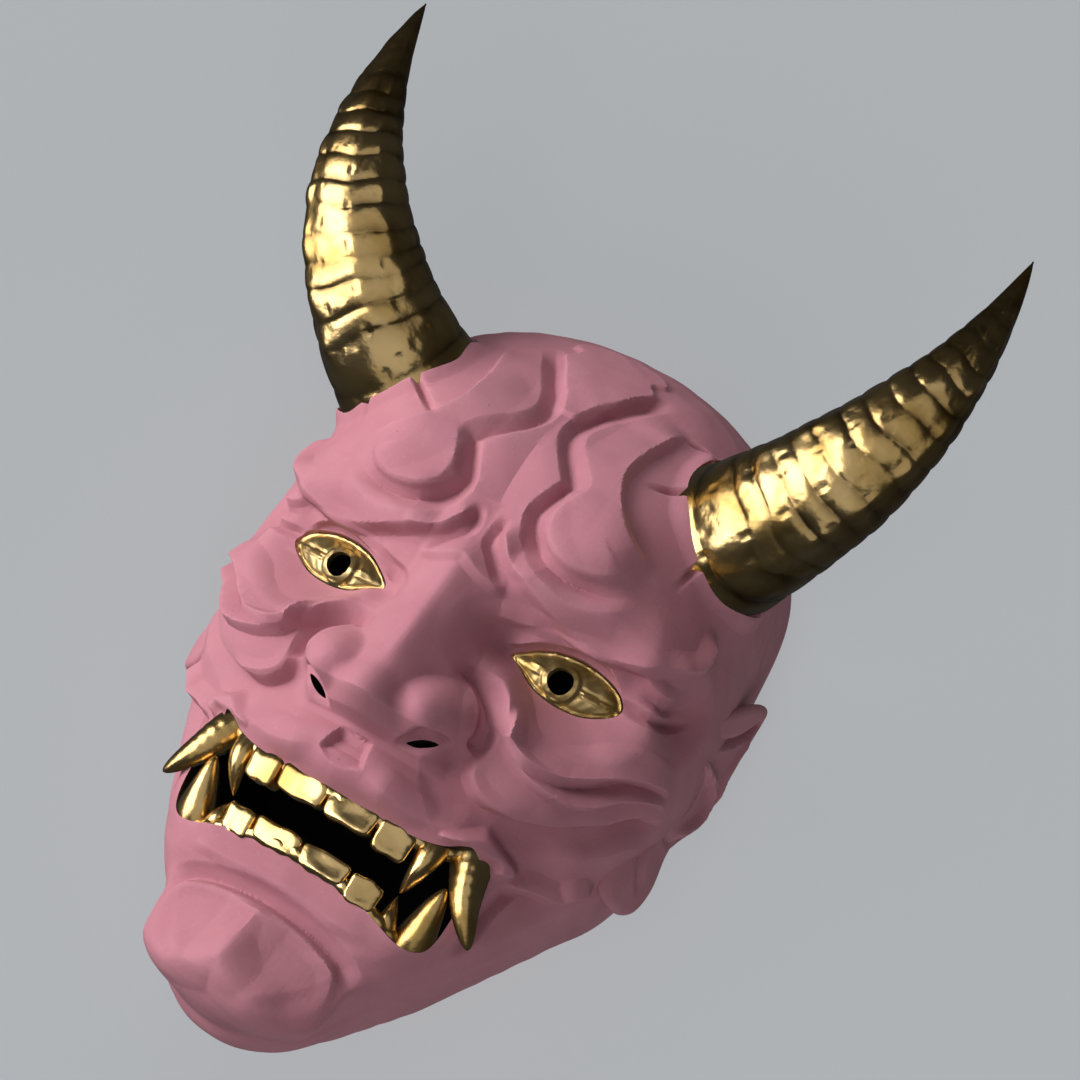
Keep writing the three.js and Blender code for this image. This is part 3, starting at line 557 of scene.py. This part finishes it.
def select_only(piece):
    bpy.ops.object.select_all(action="DESELECT")
    piece.select_set(True)
    bpy.context.view_layer.objects.active = piece


def apply_modifier(piece, kind, **values):
    select_only(piece)
    modifier = piece.modifiers.new(kind.lower(), kind)
    for key, value in values.items():
        setattr(modifier, key, value)
    bpy.ops.object.modifier_apply(modifier=modifier.name)


apply_modifier(face, "DECIMATE", ratio=FACE_TRIANGLES / (2 * (counts[0] + counts[1])))


def rod(name, sides, *cuts, caps=True):
    """A rod whose side is cut into rings, to be bent to a shape. It comes with each point's share of the
    way along it and its turn round it."""
    bpy.ops.object.select_all(action="DESELECT")
    bpy.ops.mesh.primitive_cylinder_add(vertices=sides, radius=1, depth=1, location=(0, 0, 0),
                                        end_fill_type="NGON" if caps else "NOTHING")
    piece = bpy.context.object
    piece.name = name
    bpy.ops.object.mode_set(mode="EDIT")
    bpy.ops.mesh.select_mode(type="EDGE")
    for count in cuts:
        bpy.ops.mesh.select_all(action="DESELECT")
        edit = bmesh.from_edit_mesh(piece.data)
        for edge in edit.edges:
            edge.select_set(abs(edge.verts[0].co.z - edge.verts[1].co.z) > 1e-4)
        bmesh.update_edit_mesh(piece.data)
        bpy.ops.mesh.subdivide(number_cuts=count)
    bpy.ops.mesh.select_mode(type="VERT")
    bpy.ops.object.mode_set(mode="OBJECT")
    at = np.zeros(len(piece.data.vertices) * 3)
    piece.data.vertices.foreach_get("co", at)
    x, y, z = at.reshape(-1, 3).T
    return piece, z + 0.5, np.arctan2(y, x) % (2 * np.pi)


def shape_piece(piece, points, material, smooth=True):
    """Moves a piece's points into place, closes its seams and turns its faces outwards."""
    move_points(piece, points)
    select_only(piece)
    bpy.ops.object.mode_set(mode="EDIT")
    bpy.ops.mesh.select_all(action="SELECT")
    bpy.ops.mesh.remove_doubles(threshold=1e-6)
    bpy.ops.mesh.normals_make_consistent(inside=False)
    bpy.ops.object.mode_set(mode="OBJECT")
    if smooth:
        bpy.ops.object.shade_smooth()
    piece.data.materials.clear()
    piece.data.materials.append(material)
    return piece


# The ears are cast on with the face. Each is a thin leaf that stands off the head, with a rolled rim, an
# inner fold round a bowl, and a long lobe. It is laid out in (u, y): u runs back along the head.
EAR = [(-6, -24), (-6, 4), (-1, 14), (12, 23), (25, 30), (31, 30), (30.5, 18), (30, 4), (28, -8),
       (19, -17.5), (17.5, -21), (20, -31), (17, -39), (8, -42), (-1, -40), (-5, -32)]
EAR_FRONT, EAR_BACK = np.array([66.5, 0, 41]), np.array([74.5, 0, 6])
EAR_EDGE = 2.2      # height of the leaf's edge, and how far in it is rounded
EAR_SWELL = 1.9     # height of the leaf over its edge
EAR_SUNK = 3.5      # how deep the leaf's front is let into the head
EAR_FOLDS = [
    ([(-4, 2), (2, 7), (11, 12), (19, 16), (25, 21), (28, 25), (29, 28)],
     -2.5, 2.0, 1.6, (0.1, 0.1), 0.8),
    ([(28, 22), (26, 16), (25, 10), (26, 5), (27, 2), (28, -2)], 1.4, 1.8, 1.6, (0.2, 0.2), 0.7),
    ([(3, 5), (10, 4), (18, 3), (22, 0), (23, -4), (22, -8), (17, -13), (13, -16)],
     2.3, 3, 2.4, (0.15, 0.15), 0.7),
    ([(27, -6), (22, -12), (16, -17)], -1.2, 1.6, 1.6, (0.2, 0.2), 0.8),
    ([(7, -17), (3, -22), (3, -27), (6, -31), (11, -35)], -1.2, 3, 2.0, (0.2, 0.2), 0.9),
    ([(18, -17), (12, -18), (6, -16.5)], -1.0, 1.6, 2.4, (0.2, 0.2), 0.9)]
EAR_BOWL = [(-2, 2), (6, 2.6), (11, 1.4), (14, -1.4), (14.6, -6), (12, -10), (7, -13), (2, -14),
            (-2, -8)]
EAR_LUMP = [(-1, -7), (6, -3), (10, -4), (11, -7), (9, -10), (4, -13)]


def ear(side):
    leaf, share, turn = rod("ear", 96, 9, 9)
    # the leaf is ruled from its foot to its tip between the two sides of its outline
    loop = curve_through(EAR, 6, closed=True)
    foot = np.argmin(loop[:, 1])
    loop = np.vstack([np.roll(loop, -foot, axis=0), loop[foot]])
    tip = np.argmax(loop[:, 0] + loop[:, 1])
    edges = []
    for line in (loop[:tip + 1], loop[tip:][::-1]):
        run = np.concatenate([[0], np.cumsum(np.hypot(*(line[1:] - line[:-1]).T))])
        at = (1 - np.cos(np.pi * share)) / 2 * run[-1]
        edges.append(np.stack([np.interp(at, run, line[:, 0]), np.interp(at, run, line[:, 1])], -1))
    near, far = sorted(edges, key=lambda edge: edge[:, 0].mean())
    u, y = ((near + far) / 2 + (far - near) / 2 * np.cos(turn)[:, None]).T
    gap = np.maximum(inside(u, y, EAR), 0)
    round_off = np.sqrt(np.clip(1 - (1 - np.minimum(gap / EAR_EDGE, 1)) ** 2, 0, 1))
    z = EAR_EDGE + EAR_SWELL * round_off
    for line, height, left, right, fade, crisp in EAR_FOLDS:
        z += fold(u, y, line, height, left, right, fade, crisp) * round_off
    z -= 2.7 * step_up(u, y, EAR_BOWL, 0.6, 3)
    z += 1.7 * step_up(u, y, EAR_LUMP, 0.5, 2.4)
    z += 0.8 * hump(u, y, (10, -31), (11, 11), 0, 2.5)
    z = np.where(np.sin(turn) > 0, z, EAR_EDGE - EAR_EDGE * round_off)
    z = z - EAR_SUNK * (1 - ease((u + 6) / 11))
    back_way = (EAR_BACK - EAR_FRONT) / np.linalg.norm(EAR_BACK - EAR_FRONT)
    outward = np.cross(back_way, [0, 1, 0])
    points = EAR_FRONT + u[:, None] * back_way + y[:, None] * [0, 1, 0] + z[:, None] * outward
    return shape_piece(leaf, points * [side, 1, 1], resin.material)


def cut_or_join(piece, others, operation):
    """Cuts the others out of a piece, or joins them to it. They bring their own material along."""
    group = bpy.data.collections.new("cutters")
    bpy.context.scene.collection.children.link(group)
    for other in others:
        bpy.context.collection.objects.unlink(other)
        group.objects.link(other)
    apply_modifier(piece, "BOOLEAN", operand_type="COLLECTION", collection=group, operation=operation,
                   solver="MANIFOLD")
    for other in others:
        bpy.data.objects.remove(other)
    bpy.data.collections.remove(group)


cut_or_join(face, [ear(1), ear(-1)], "UNION")


# Horns. Each is one hollow casting, gold plated and darkened with a wash that stays in the grooves and
# toward the tip, with painted shade on its underside: broad uneven growth waves, a plain collar at the
# root and two soft edges along it.
GOLD, GOLD_PATCH = (0.45, 0.28, 0.08), (0.78, 0.55, 0.25)
# the stain in hollows, and the wash, whose colour also serves as painted shade on the horns' undersides
GOLD_STAIN, GOLD_WASH_AND_SHADE = (0.08, 0.042, 0.012), (0.05, 0.026, 0.008)


def gilding(name, stained, dull, painted=False):
    """Gold plating with a dark stain in its hollows. A dull one blurs what it reflects. Where it is
    painted, the piece's own attribute says where a dark wash and painted shade lie."""
    gold = Finish(name)
    patch = gold.noise(42, 5, 0.6, distort=0.8)
    colour = gold.mix(gold.between(patch, 0.34, 0.64), GOLD, GOLD_PATCH)
    stain = gold.between(gold.noise(20, 4, 0.6), 0.3, 0.75, 0.5, 1.0)
    stain = gold.times(stain, gold.pointed(0.42, 0.5, 1, 0))
    colour = gold.mix(gold.times(stain, stained), colour, GOLD_STAIN)
    if painted:
        # the dark wash, together with painted shade on the horn's underside, read from the piece's own
        # attribute
        wash_and_shade = gold.node("ShaderNodeAttribute", attribute_name="wash_and_shade").outputs["Fac"]
        broken = gold.between(gold.noise(55, 4, 0.6, distort=1.0), 0.3, 0.6, 0.45, 1.0)
        colour = gold.mix(gold.times(gold.times(wash_and_shade, broken), 0.85), colour, GOLD_WASH_AND_SHADE)
    gold.into("Base Color", colour)
    gold.into("Metallic", 1.0)
    gold.into("Roughness", gold.between(patch, 0.3, 0.7, 0.28 + dull, 0.16 + dull))
    normal = gold.bump(gold.noise(110, 3, 0.55), 0.001, 0.3)
    normal = gold.bump(gold.noise(38, 2, 0.5, distort=1.0), 0.003, 0.2, normal)
    gold.into("Normal", gold.bump(gold.noise(900, 2, 0.5), 0.0001, 0.3, normal))
    return gold


gold = gilding("gold_plating", 0.75, 0.04)
horn_gold = gilding("horn_gilding", 0.6, 0.0, painted=True)

HORN_LINE = np.array([(52.3, 58.9, 54.5), (81.5, 75.6, 93.6), (93.3, 111.9, 89.9), (93.2, 149.2, 93.8)])
HORN_ROOT, HORN_TIP = 21.5, 0.25  # the radius at both ends
# The grooves between the growth waves, as shares of the way along the horn.
GROOVES = np.array([0.0, 0.055, 0.15, 0.195, 0.25, 0.295, 0.35, 0.415, 0.475, 0.54, 0.6, 0.655,
                    0.71, 0.77, 0.85, 1.0])


def horn_spine(count):
    u = np.linspace(0, 1, count)[:, None]
    a, b, c, d = HORN_LINE
    return (1 - u) ** 3 * a + 3 * (1 - u) ** 2 * u * b + 3 * (1 - u) * u * u * c + u ** 3 * d


def bent(spine, share, across, up):
    """Places round a line of points: share runs along it, across and up stand off it."""
    along = np.gradient(spine, axis=0)
    along /= np.linalg.norm(along, axis=1, keepdims=True)
    wide = np.cross(along, [0, 0, 1.0])
    wide /= np.linalg.norm(wide, axis=1, keepdims=True)
    deep = np.cross(wide, along)
    knots = np.linspace(0, 1, len(spine))

    def at(values):
        return np.stack([np.interp(share, knots, column) for column in values.T], -1)
    return at(spine) + across[:, None] * at(wide) + up[:, None] * at(deep)


def horn_taper(share):
    """The horn's radius without its waves."""
    return HORN_ROOT * np.maximum(1 - share ** 0.92, 0) ** 0.83


def stripe(turn, at, wide):
    """1 on a line that runs along the horn, and next to nothing away from it."""
    return np.exp(-((turn - at) / wide) ** 2)


def horn_surface(share, turn):
    """The horn's radius at each place, and how much of the dark wash and of the painted shade lies there.
    """
    thin = 1 - share
    radius = horn_taper(share) * (1 + 0.11 * np.sin(np.pi * share) ** 2)
    # growth waves between grooves that sway round the horn, and that die out toward the tip
    sway = 0.010 * np.sin(turn + 0.6) + 0.006 * np.sin(2 * turn + 9 * share)
    sway = sway + 0.004 * np.sin(5 * turn - 14 * share)
    place = np.clip(share + sway * ease(share / 0.12), 0, 0.9999)
    wave = np.clip(np.searchsorted(GROOVES, place, side="right") - 1, 0, len(GROOVES) - 2)
    low, high = GROOVES[wave], GROOVES[wave + 1]
    bulge = np.clip(1 - np.abs(2 * (place - low) / (high - low) - 1) ** 2.6, 0, 1) ** 0.8
    uneven = 0.75 + 0.25 * np.sin(1.7 * wave + 2 * turn)
    waves = (0.55 * bulge * uneven - 0.4) * (1 - ease((share - 0.6) / 0.4))
    radius = radius + waves * np.clip(share / 0.03, 0.3, 1)
    # two soft edges along it, with a shallow trough between them
    edge = stripe(turn, 0.55, 0.16) + 0.8 * stripe(turn, 2.3, 0.18)
    edge = 1.7 * edge * ease((share - 0.03) / 0.12) * thin ** 0.6
    radius = radius + edge * (0.75 + 0.25 * np.sin(60 * share))
    radius = radius - 0.8 * stripe(turn, 1.4, 0.5) * thin
    # fine ripples and nicks
    nicks = np.sin(9 * turn + 31 * share) * np.sin(13 * turn - 47 * share)
    ripples = 0.1 * np.sin(7 * turn + 12 * share)
    radius = radius + (ripples - 0.35 * ease((nicks - 0.6) / 0.4)) * thin
    # the wash lies in the grooves and toward the tip, and painted shade darkens the underside
    wash_and_shade = (1 - bulge) ** 0.8 * (0.6 + 0.4 * np.sin(1.3 * wave + 3 * turn))
    wash_and_shade = wash_and_shade + 0.9 * ease((share - 0.5) / 0.35)
    # painted shade: darker where the horn turns its underside away from the light
    wash_and_shade = wash_and_shade + 0.55 * ease((0.5 - np.sin(turn)) / 0.4)
    return np.maximum(radius, HORN_TIP), np.clip(wash_and_shade, 0, 1)


def horn(name, side):
    piece, share, turn = rod(name, 120, 11, 19)
    radius, wash_and_shade = horn_surface(share, turn)
    piece.data.attributes.new("wash_and_shade", "FLOAT", "POINT").data.foreach_set("value", wash_and_shade)
    points = bent(horn_spine(400), share, radius * np.cos(turn), radius * np.sin(turn))
    shape_piece(piece, points * [side, 1, 1], horn_gold.material)
    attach(piece, "root")
    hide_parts(name.replace("gilt_", ""))


horn("gilt_horn_right", 1)
horn("gilt_horn_left", -1)

# Eye plates. Each is a thin gilt almond, dished, with a raised ring round the pierced pupil, a thin
# nicked border, and creases from the ring to the corners.
eye_gold = gilding("eye_gilding", 0.5, 0.22)
EYE = [(20.2, 0.4), (26, 5), (32, 7.4), (39, 8), (46, 6.7), (50, 4.4), (51.6, 1.2), (49, -2),
       (43, -5), (36, -5.8), (29.5, -4.9), (24, -2)]
EYE_MIDDLE = np.array([36, 0.8])
PUPIL = np.array([35.0, 0.0])
PUPIL_RADIUS = 3.5
PLATE_OUT, PLATE_SLOPE = 66.9, 0.2  # the border's height near the nose, and its fall outwards
PLATE_DISH, PLATE_THICK = 4.3, 2.6


def eye_plate(name, side):
    # rings: the pupil's edge at the back, the front from the pupil to the border, and the back again
    front_shares = np.concatenate([np.linspace(0, 0.3, 10)[:-1], np.linspace(0.3, 1, 24)])
    piece, share, turn = rod(name, 144, 6, 4, caps=False)
    ring = np.rint(share * (len(front_shares) + 2)).astype(int)
    out = np.concatenate([[0], front_shares, [1, 0]])[ring]
    front = (ring >= 1) & (ring <= len(front_shares))
    loop = curve_through(EYE, 12, closed=True) - PUPIL
    angle = np.arctan2(loop[:, 1], loop[:, 0]) % (2 * np.pi)
    order = np.argsort(angle)
    far = np.interp(turn, angle[order], np.hypot(*loop.T)[order], period=2 * np.pi)
    r = PUPIL_RADIUS + (far - PUPIL_RADIUS) * out
    x, y = PUPIL[0] + r * np.cos(turn), PUPIL[1] + r * np.sin(turn)
    lies = PLATE_OUT - PLATE_SLOPE * (x - 20)
    # the raised ring, with a groove round it
    ridge = 0.75 * ease((5.3 - r) / 0.5) - 0.3 * ease((r - 5.0) / 0.5) * ease((7.0 - r) / 1.4)
    # creases: to the outer corner a crest between two grooves, to the inner one two crests
    outer_side = x > PUPIL[0]
    off = np.abs(y - np.where(outer_side, 0.06, -0.02) * (x - PUPIL[0]))
    lines = 0.4 * ease(1 - np.abs(off - 0.9) / 0.6)
    crease = np.where(outer_side, 0.45 * ease(1 - off / 0.5) - lines, lines * ease((x - 24) / 4))
    ridge += crease * ease((r - 5.4) / 1.0)
    # the nicked border with a line inside it, and hammering all over
    rim = far - r
    nicked = 0.55 + 0.15 * np.sin(9 * turn) * np.sin(23 * turn)
    ridge += nicked * ease(1 - np.abs(rim - 0.45) / 0.55)
    ridge -= 0.25 * ease(1 - np.abs(rim - 1.4) / 0.7)
    ridge += 0.1 * np.sin(0.9 * x + 1.1 * y) + 0.06 * np.sin(2.1 * x - 1.7 * y)
    face_up = lies + PLATE_DISH * (1 - (r / far) ** 2) + ridge
    back = lies - PLATE_THICK + np.where(out == 0, PLATE_DISH, 0)
    points = np.stack([x, y, np.where(front, face_up, back)], -1)
    shape_piece(piece, points * [side, 1, 1], eye_gold.material)
    piece.data.set_sharp_from_angle(angle=1.0)
    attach(piece, "root")
    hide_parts(name.replace("gilt_", ""))


eye_plate("gilt_eye_right", 1)
eye_plate("gilt_eye_left", -1)


# Teeth. Each row is one gilt casting, set in the mouth from behind: nicked blocks, smooth fangs and
# ribbed tusks that grow from a thin strip of gum right under the edge of the lip.
def block(at, size, turn, seed):
    """A nicked tooth with rounded edges: its middle, its width, height and depth, and its turn."""
    bpy.ops.object.select_all(action="DESELECT")
    bpy.ops.mesh.primitive_cube_add(size=2, location=(0, 0, 0))
    piece = bpy.context.object
    bpy.ops.object.mode_set(mode="EDIT")
    bpy.ops.mesh.subdivide(number_cuts=15)
    bpy.ops.object.mode_set(mode="OBJECT")
    at_first = np.zeros(len(piece.data.vertices) * 3)
    piece.data.vertices.foreach_get("co", at_first)
    p = at_first.reshape(-1, 3)
    p = p / (np.abs(p) ** 6).sum(axis=1, keepdims=True) ** (1 / 6)
    x, y, z = p.T
    dent = 0.04 * np.sin(3.1 * x + seed * 2) * np.sin(2.7 * y + seed)
    dent = dent + 0.05 * np.sin(5 * x + seed * 5) * np.abs(y)
    dent = dent - 0.06 * ease((z + 0.2) / 0.8) * ease(1 - np.hypot(x, y + 0.2))
    deep = z * (1 + 0.08 * np.cos(2.2 * y + seed)) + dent
    p = np.stack([x * (1 + 0.05 * y), y + dent, deep], -1)
    a = np.radians(turn)
    turned = np.array([[np.cos(a), 0, -np.sin(a)], [0, 1, 0], [np.sin(a), 0, np.cos(a)]])
    return piece, p * np.array(size) / 2 @ turned + at


def fang(line, base, taper, ribs):
    """A fang along a line: its radius at the root, how it tapers, and how high its ribs are."""
    piece, share, turn = rod("fang", 40, 5, 11)
    radius = base * np.maximum(1 - share, 0) ** taper
    radius *= 1 + 0.06 * np.sin(2 * turn + 1) + 0.05 * np.cos(3 * turn + 2 * share)
    radius += ribs * np.sin(70 * share + 1.2 * np.sin(turn)) * ease((0.9 - share) / 0.4)
    radius = np.maximum(radius, 0.2)
    return piece, bent(curve_through(line, 20), share, radius * np.cos(turn), radius * np.sin(turn))


def gum(line, radius):
    """The strip that the teeth of a row grow from, from the half of its line on the viewer's right."""
    piece, share, turn = rod("gum", 20, 11, 9)
    whole = [(-x, y, z) for x, y, z in line[::-1]] + list(line)
    r = radius * (1 + 0.12 * np.sin(75 * share + turn) * np.sin(31 * share))
    return piece, bent(curve_through(whole, 10), share, r * np.cos(turn), 1.2 * r * np.sin(turn))


def row_of_teeth(name, gums, blocks, fangs):
    """Each gum is a line and its radius, each block a middle, a size and a turn, and each fang a line,
    its radius at the root, its taper and its ribs. Blocks and fangs are made on both sides."""
    made = [shape_piece(*gum(line, radius), gold.material) for line, radius in gums]
    for side in (1, -1):
        mirror = np.array([side, 1, 1])
        for number, (at, size, turn) in enumerate(blocks):
            piece, points = block(at, size, turn, number + 1.7 * side)
            made.append(shape_piece(piece, points * mirror, gold.material))
        for line, base, taper, ribs in fangs:
            piece, points = fang(line, base, taper, ribs)
            made.append(shape_piece(piece, points * mirror, gold.material))
    bpy.ops.object.select_all(action="DESELECT")
    for one in made:
        one.select_set(True)
    bpy.context.view_layer.objects.active = made[0]
    bpy.ops.object.join()
    piece = made[0]
    piece.name = name
    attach(piece, "root")
    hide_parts(name.replace("gilt_", ""))


row_of_teeth(
    "gilt_upper_teeth",
    [([(4, -54.6, 74.6), (14, -54.6, 73), (24, -54, 69.4), (31, -52.6, 66), (37, -50, 62.5)], 2.3)],
    [((7.3, -56.7, 74.3), (14.3, 7.2, 6.4), 4), ((19.5, -57.2, 71.9), (10.2, 8.4, 6.4), 20)],
    [([(28.5, -50, 66), (28.8, -58, 69.6), (26.3, -67.2, 65.6)], 4.6, 0.62, 0),
     ([(35.5, -46, 58.5), (38.5, -53, 63), (42.5, -62, 64.5), (48.3, -70.9, 62.3)], 6.3, 0.5, 0.05)])
row_of_teeth(
    "gilt_lower_teeth",
    [([(4, -72, 71.6), (14, -73, 70), (22, -75.2, 67.6), (28, -77.2, 64), (34, -79, 58)], 2.4)],
    [((7.2, -70.9, 71.4), (13.9, 6.2, 6.0), 4), ((18.9, -72.0, 69.2), (9.2, 7.6, 6.0), 18)],
    [([(27, -78.5, 62.5), (26.8, -74, 65.2), (25.7, -68.0, 63.4)], 3.8, 0.7, 0),
     ([(34, -78.5, 57), (34.8, -73, 62), (36.3, -60.5, 65.9)], 7.0, 0.55, 0)])

# Holes in the face, drilled and sawn from the front: sockets for the horns, eye openings, the mouth and
# the nostrils. The walls of the mouth and the nostrils are sprayed black with the inside.
MOUTH = [(0, -53.8), (13, -54.1), (24, -53.7), (31, -52.2), (36, -49.6), (39, -49), (41, -53),
         (41.2, -64), (40.3, -74), (37.6, -78), (32.5, -78.6), (24, -76), (14, -73.4), (0, -72)]
NOSTRIL = [(12.4, -35.0), (14.8, -32.9), (17.4, -31.7), (19.8, -31.4), (17.8, -33.4), (15, -34.8)]
EYE_GAP, SOCKET_GAP = 0.25, 0.9  # from the cut wall to the plate or horn in it


def opening(outline, low, high, material):
    """A cutter with this outline, from one height to the other."""
    loop = curve_through(outline, 6, closed=True)
    x, y = loop.T
    if np.sum(x * np.roll(y, -1) - y * np.roll(x, -1)) < 0:
        loop = loop[::-1]
    piece, share, turn = rod("cutter", len(loop))
    number = np.rint(turn / (2 * np.pi) * len(loop)).astype(int) % len(loop)
    points = np.column_stack([loop[number], np.where(share > 0.5, high, low)])
    return shape_piece(piece, points, material, smooth=False)


cutters = [opening(both_halves(MOUTH), 52, 110, black.material)]
for side in (1, -1):
    eye = np.array(EYE) - EYE_MIDDLE
    eye = EYE_MIDDLE + eye * (1 + EYE_GAP / np.hypot(*eye.T))[:, None]
    cutters.append(opening(eye * [side, 1], 30, 110, resin.material))
    socket, share, turn = rod("socket", 60, 5, 9)
    radius = horn_taper(share) + SOCKET_GAP
    points = bent(horn_spine(200), share, radius * np.cos(turn), radius * np.sin(turn))
    cutters.append(shape_piece(socket, points * [side, 1, 1], resin.material))
    cutters.append(opening([(x * side, y) for x, y in NOSTRIL], 55, 115, black.material))
cut_or_join(face, cutters, "DIFFERENCE")
# Pockets of air that the ears shut in against the head have skins of their own, which are taken away.
select_only(face)
bpy.ops.object.mode_set(mode="EDIT")
bpy.ops.mesh.select_all(action="DESELECT")
bpy.ops.object.mode_set(mode="OBJECT")
min(face.data.vertices, key=lambda point: point.co.z).select = True
bpy.ops.object.mode_set(mode="EDIT")
bpy.ops.mesh.select_linked()
bpy.ops.mesh.select_all(action="INVERT")
bpy.ops.mesh.delete(type="VERT")
bpy.ops.object.mode_set(mode="OBJECT")
bpy.ops.object.shade_smooth()
face.data.set_sharp_from_angle(angle=0.5)
apply_modifier(face, "WEIGHTED_NORMAL", keep_sharp=True)
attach(face, "root")
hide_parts("mask_face")
face.visible_glossy = False

# The floor is a plain pale board, and a black card on it keeps it from showing through the mask's holes.
# The camera looks down on the mask from below its chin and from its right, so that the mask leans over to
# the left in the picture.
board = Finish("pale_floor")
board_colour = board.mix(board.noise(3, 3), (0.355, 0.373, 0.387), (0.37, 0.388, 0.402))
board.into("Base Color", board_colour)
board.into("Roughness", 0.8)
board.into("Specular IOR Level", 0.2)
bpy.ops.object.select_all(action="DESELECT")
bpy.ops.mesh.primitive_plane_add(size=8, location=(0, 0, 0))
floor = bpy.context.object
floor.name = "floor"
floor.data.materials.append(board.material)
floor.visible_glossy = False
CARD_GAP, CARD_UP = 3, 0.3  # from the card's edge to the rim, and from the floor to the card
bpy.ops.mesh.primitive_circle_add(vertices=64, radius=1, fill_type="NGON", location=(0, 0, 0))
card = bpy.context.object
card.name = "black_card"
x, y, z = np.array([v.co for v in card.data.vertices]).T
angle = np.degrees(np.arctan2(y, x))
card_reach = reach_at(angle) * (1 - tuck_at(angle)) - CARD_GAP
move_points(card, np.stack([card_reach * x, CENTRE + card_reach * y, z + CARD_UP], -1))
card.data.materials.append(black.material)

# The camera's place in the mask's millimetres, its turn in degrees and its lens. They come from the
# mask's two halves, which have to be mirror images.
CAMERA_AT = np.array([168.6, -90.1, 562.77])
CAMERA_TURN = np.radians([20.306, 8.545, 30.661])
LENS, SENSOR = 66.67, 36
bpy.ops.object.camera_add(location=(CAMERA_AT + [0, DOWN, 0]) * 0.001, rotation=CAMERA_TURN)
camera = bpy.context.object
camera.name = "camera"
camera.data.sensor_width = SENSOR
camera.data.lens = LENS
camera.data.clip_start = 0.01
bpy.context.scene.camera = camera

# Studio light: a soft key from the upper left of the picture falls on the mask alone, and a sun from the
# same side on the floor alone, where the mask throws no shadow. Only the gold sees the two dim panels,
# and the key and the three weak fills show in no reflection.
AIM = Vector((0, 0, 0.05))
KEY_FROM, KEY_FAR = Vector((-0.74, 0.0, 0.67)), 0.62  # the key's way from the mask, and its distance
ROOM_LIGHT = (0.04, 0.0415, 0.043, 1)
mask_parts = bpy.data.collections.new("mask_parts")
gold_parts = bpy.data.collections.new("gold_parts")
board_only = bpy.data.collections.new("board_only")
for piece in bpy.context.scene.objects:
    if piece.type == "MESH" and not piece.get("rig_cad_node"):
        (board_only if piece == floor else mask_parts).objects.link(piece)
        if piece.name.startswith("gilt_"):
            gold_parts.objects.link(piece)


def lamp(kind, place, power, only=None, shines=True, **values):
    """A light aimed at the mask. It can fall on some pieces only, and stay out of all reflections."""
    bpy.ops.object.light_add(type=kind, location=place)
    made = bpy.context.object
    made.data.energy = power
    for key, value in values.items():
        setattr(made.data, key, value)
    made.rotation_euler = (AIM - Vector(place)).to_track_quat("-Z", "Y").to_euler()
    made.visible_glossy = shines
    if only is not None:
        made.light_linking.receiver_collection = only
        made.light_linking.blocker_collection = only


lamp("AREA", KEY_FROM * KEY_FAR + AIM, 5.1, mask_parts, shines=False, size=0.36)
lamp("AREA", (-0.66, -0.3, 0.75), 15.0, gold_parts, size=1.1)     # the panel on the left
lamp("AREA", (0.45, -0.35, 1.4), 6.0, gold_parts, size=2.0)       # the panel overhead
lamp("SUN", KEY_FROM, 4.35, board_only)
for place, power in [((0.6, -1.1, 0.7), 5.0), ((-0.4, 1.2, 0.9), 3.2), ((0.2, -0.3, 1.6), 2.0)]:
    lamp("AREA", place, power, shines=False, size=1.2)
world = bpy.data.worlds.new("studio")
bpy.context.scene.world = world
world.use_nodes = True
world.node_tree.nodes["Background"].inputs[0].default_value = ROOM_LIGHT
bpy.context.scene.view_settings.view_transform = "Standard"
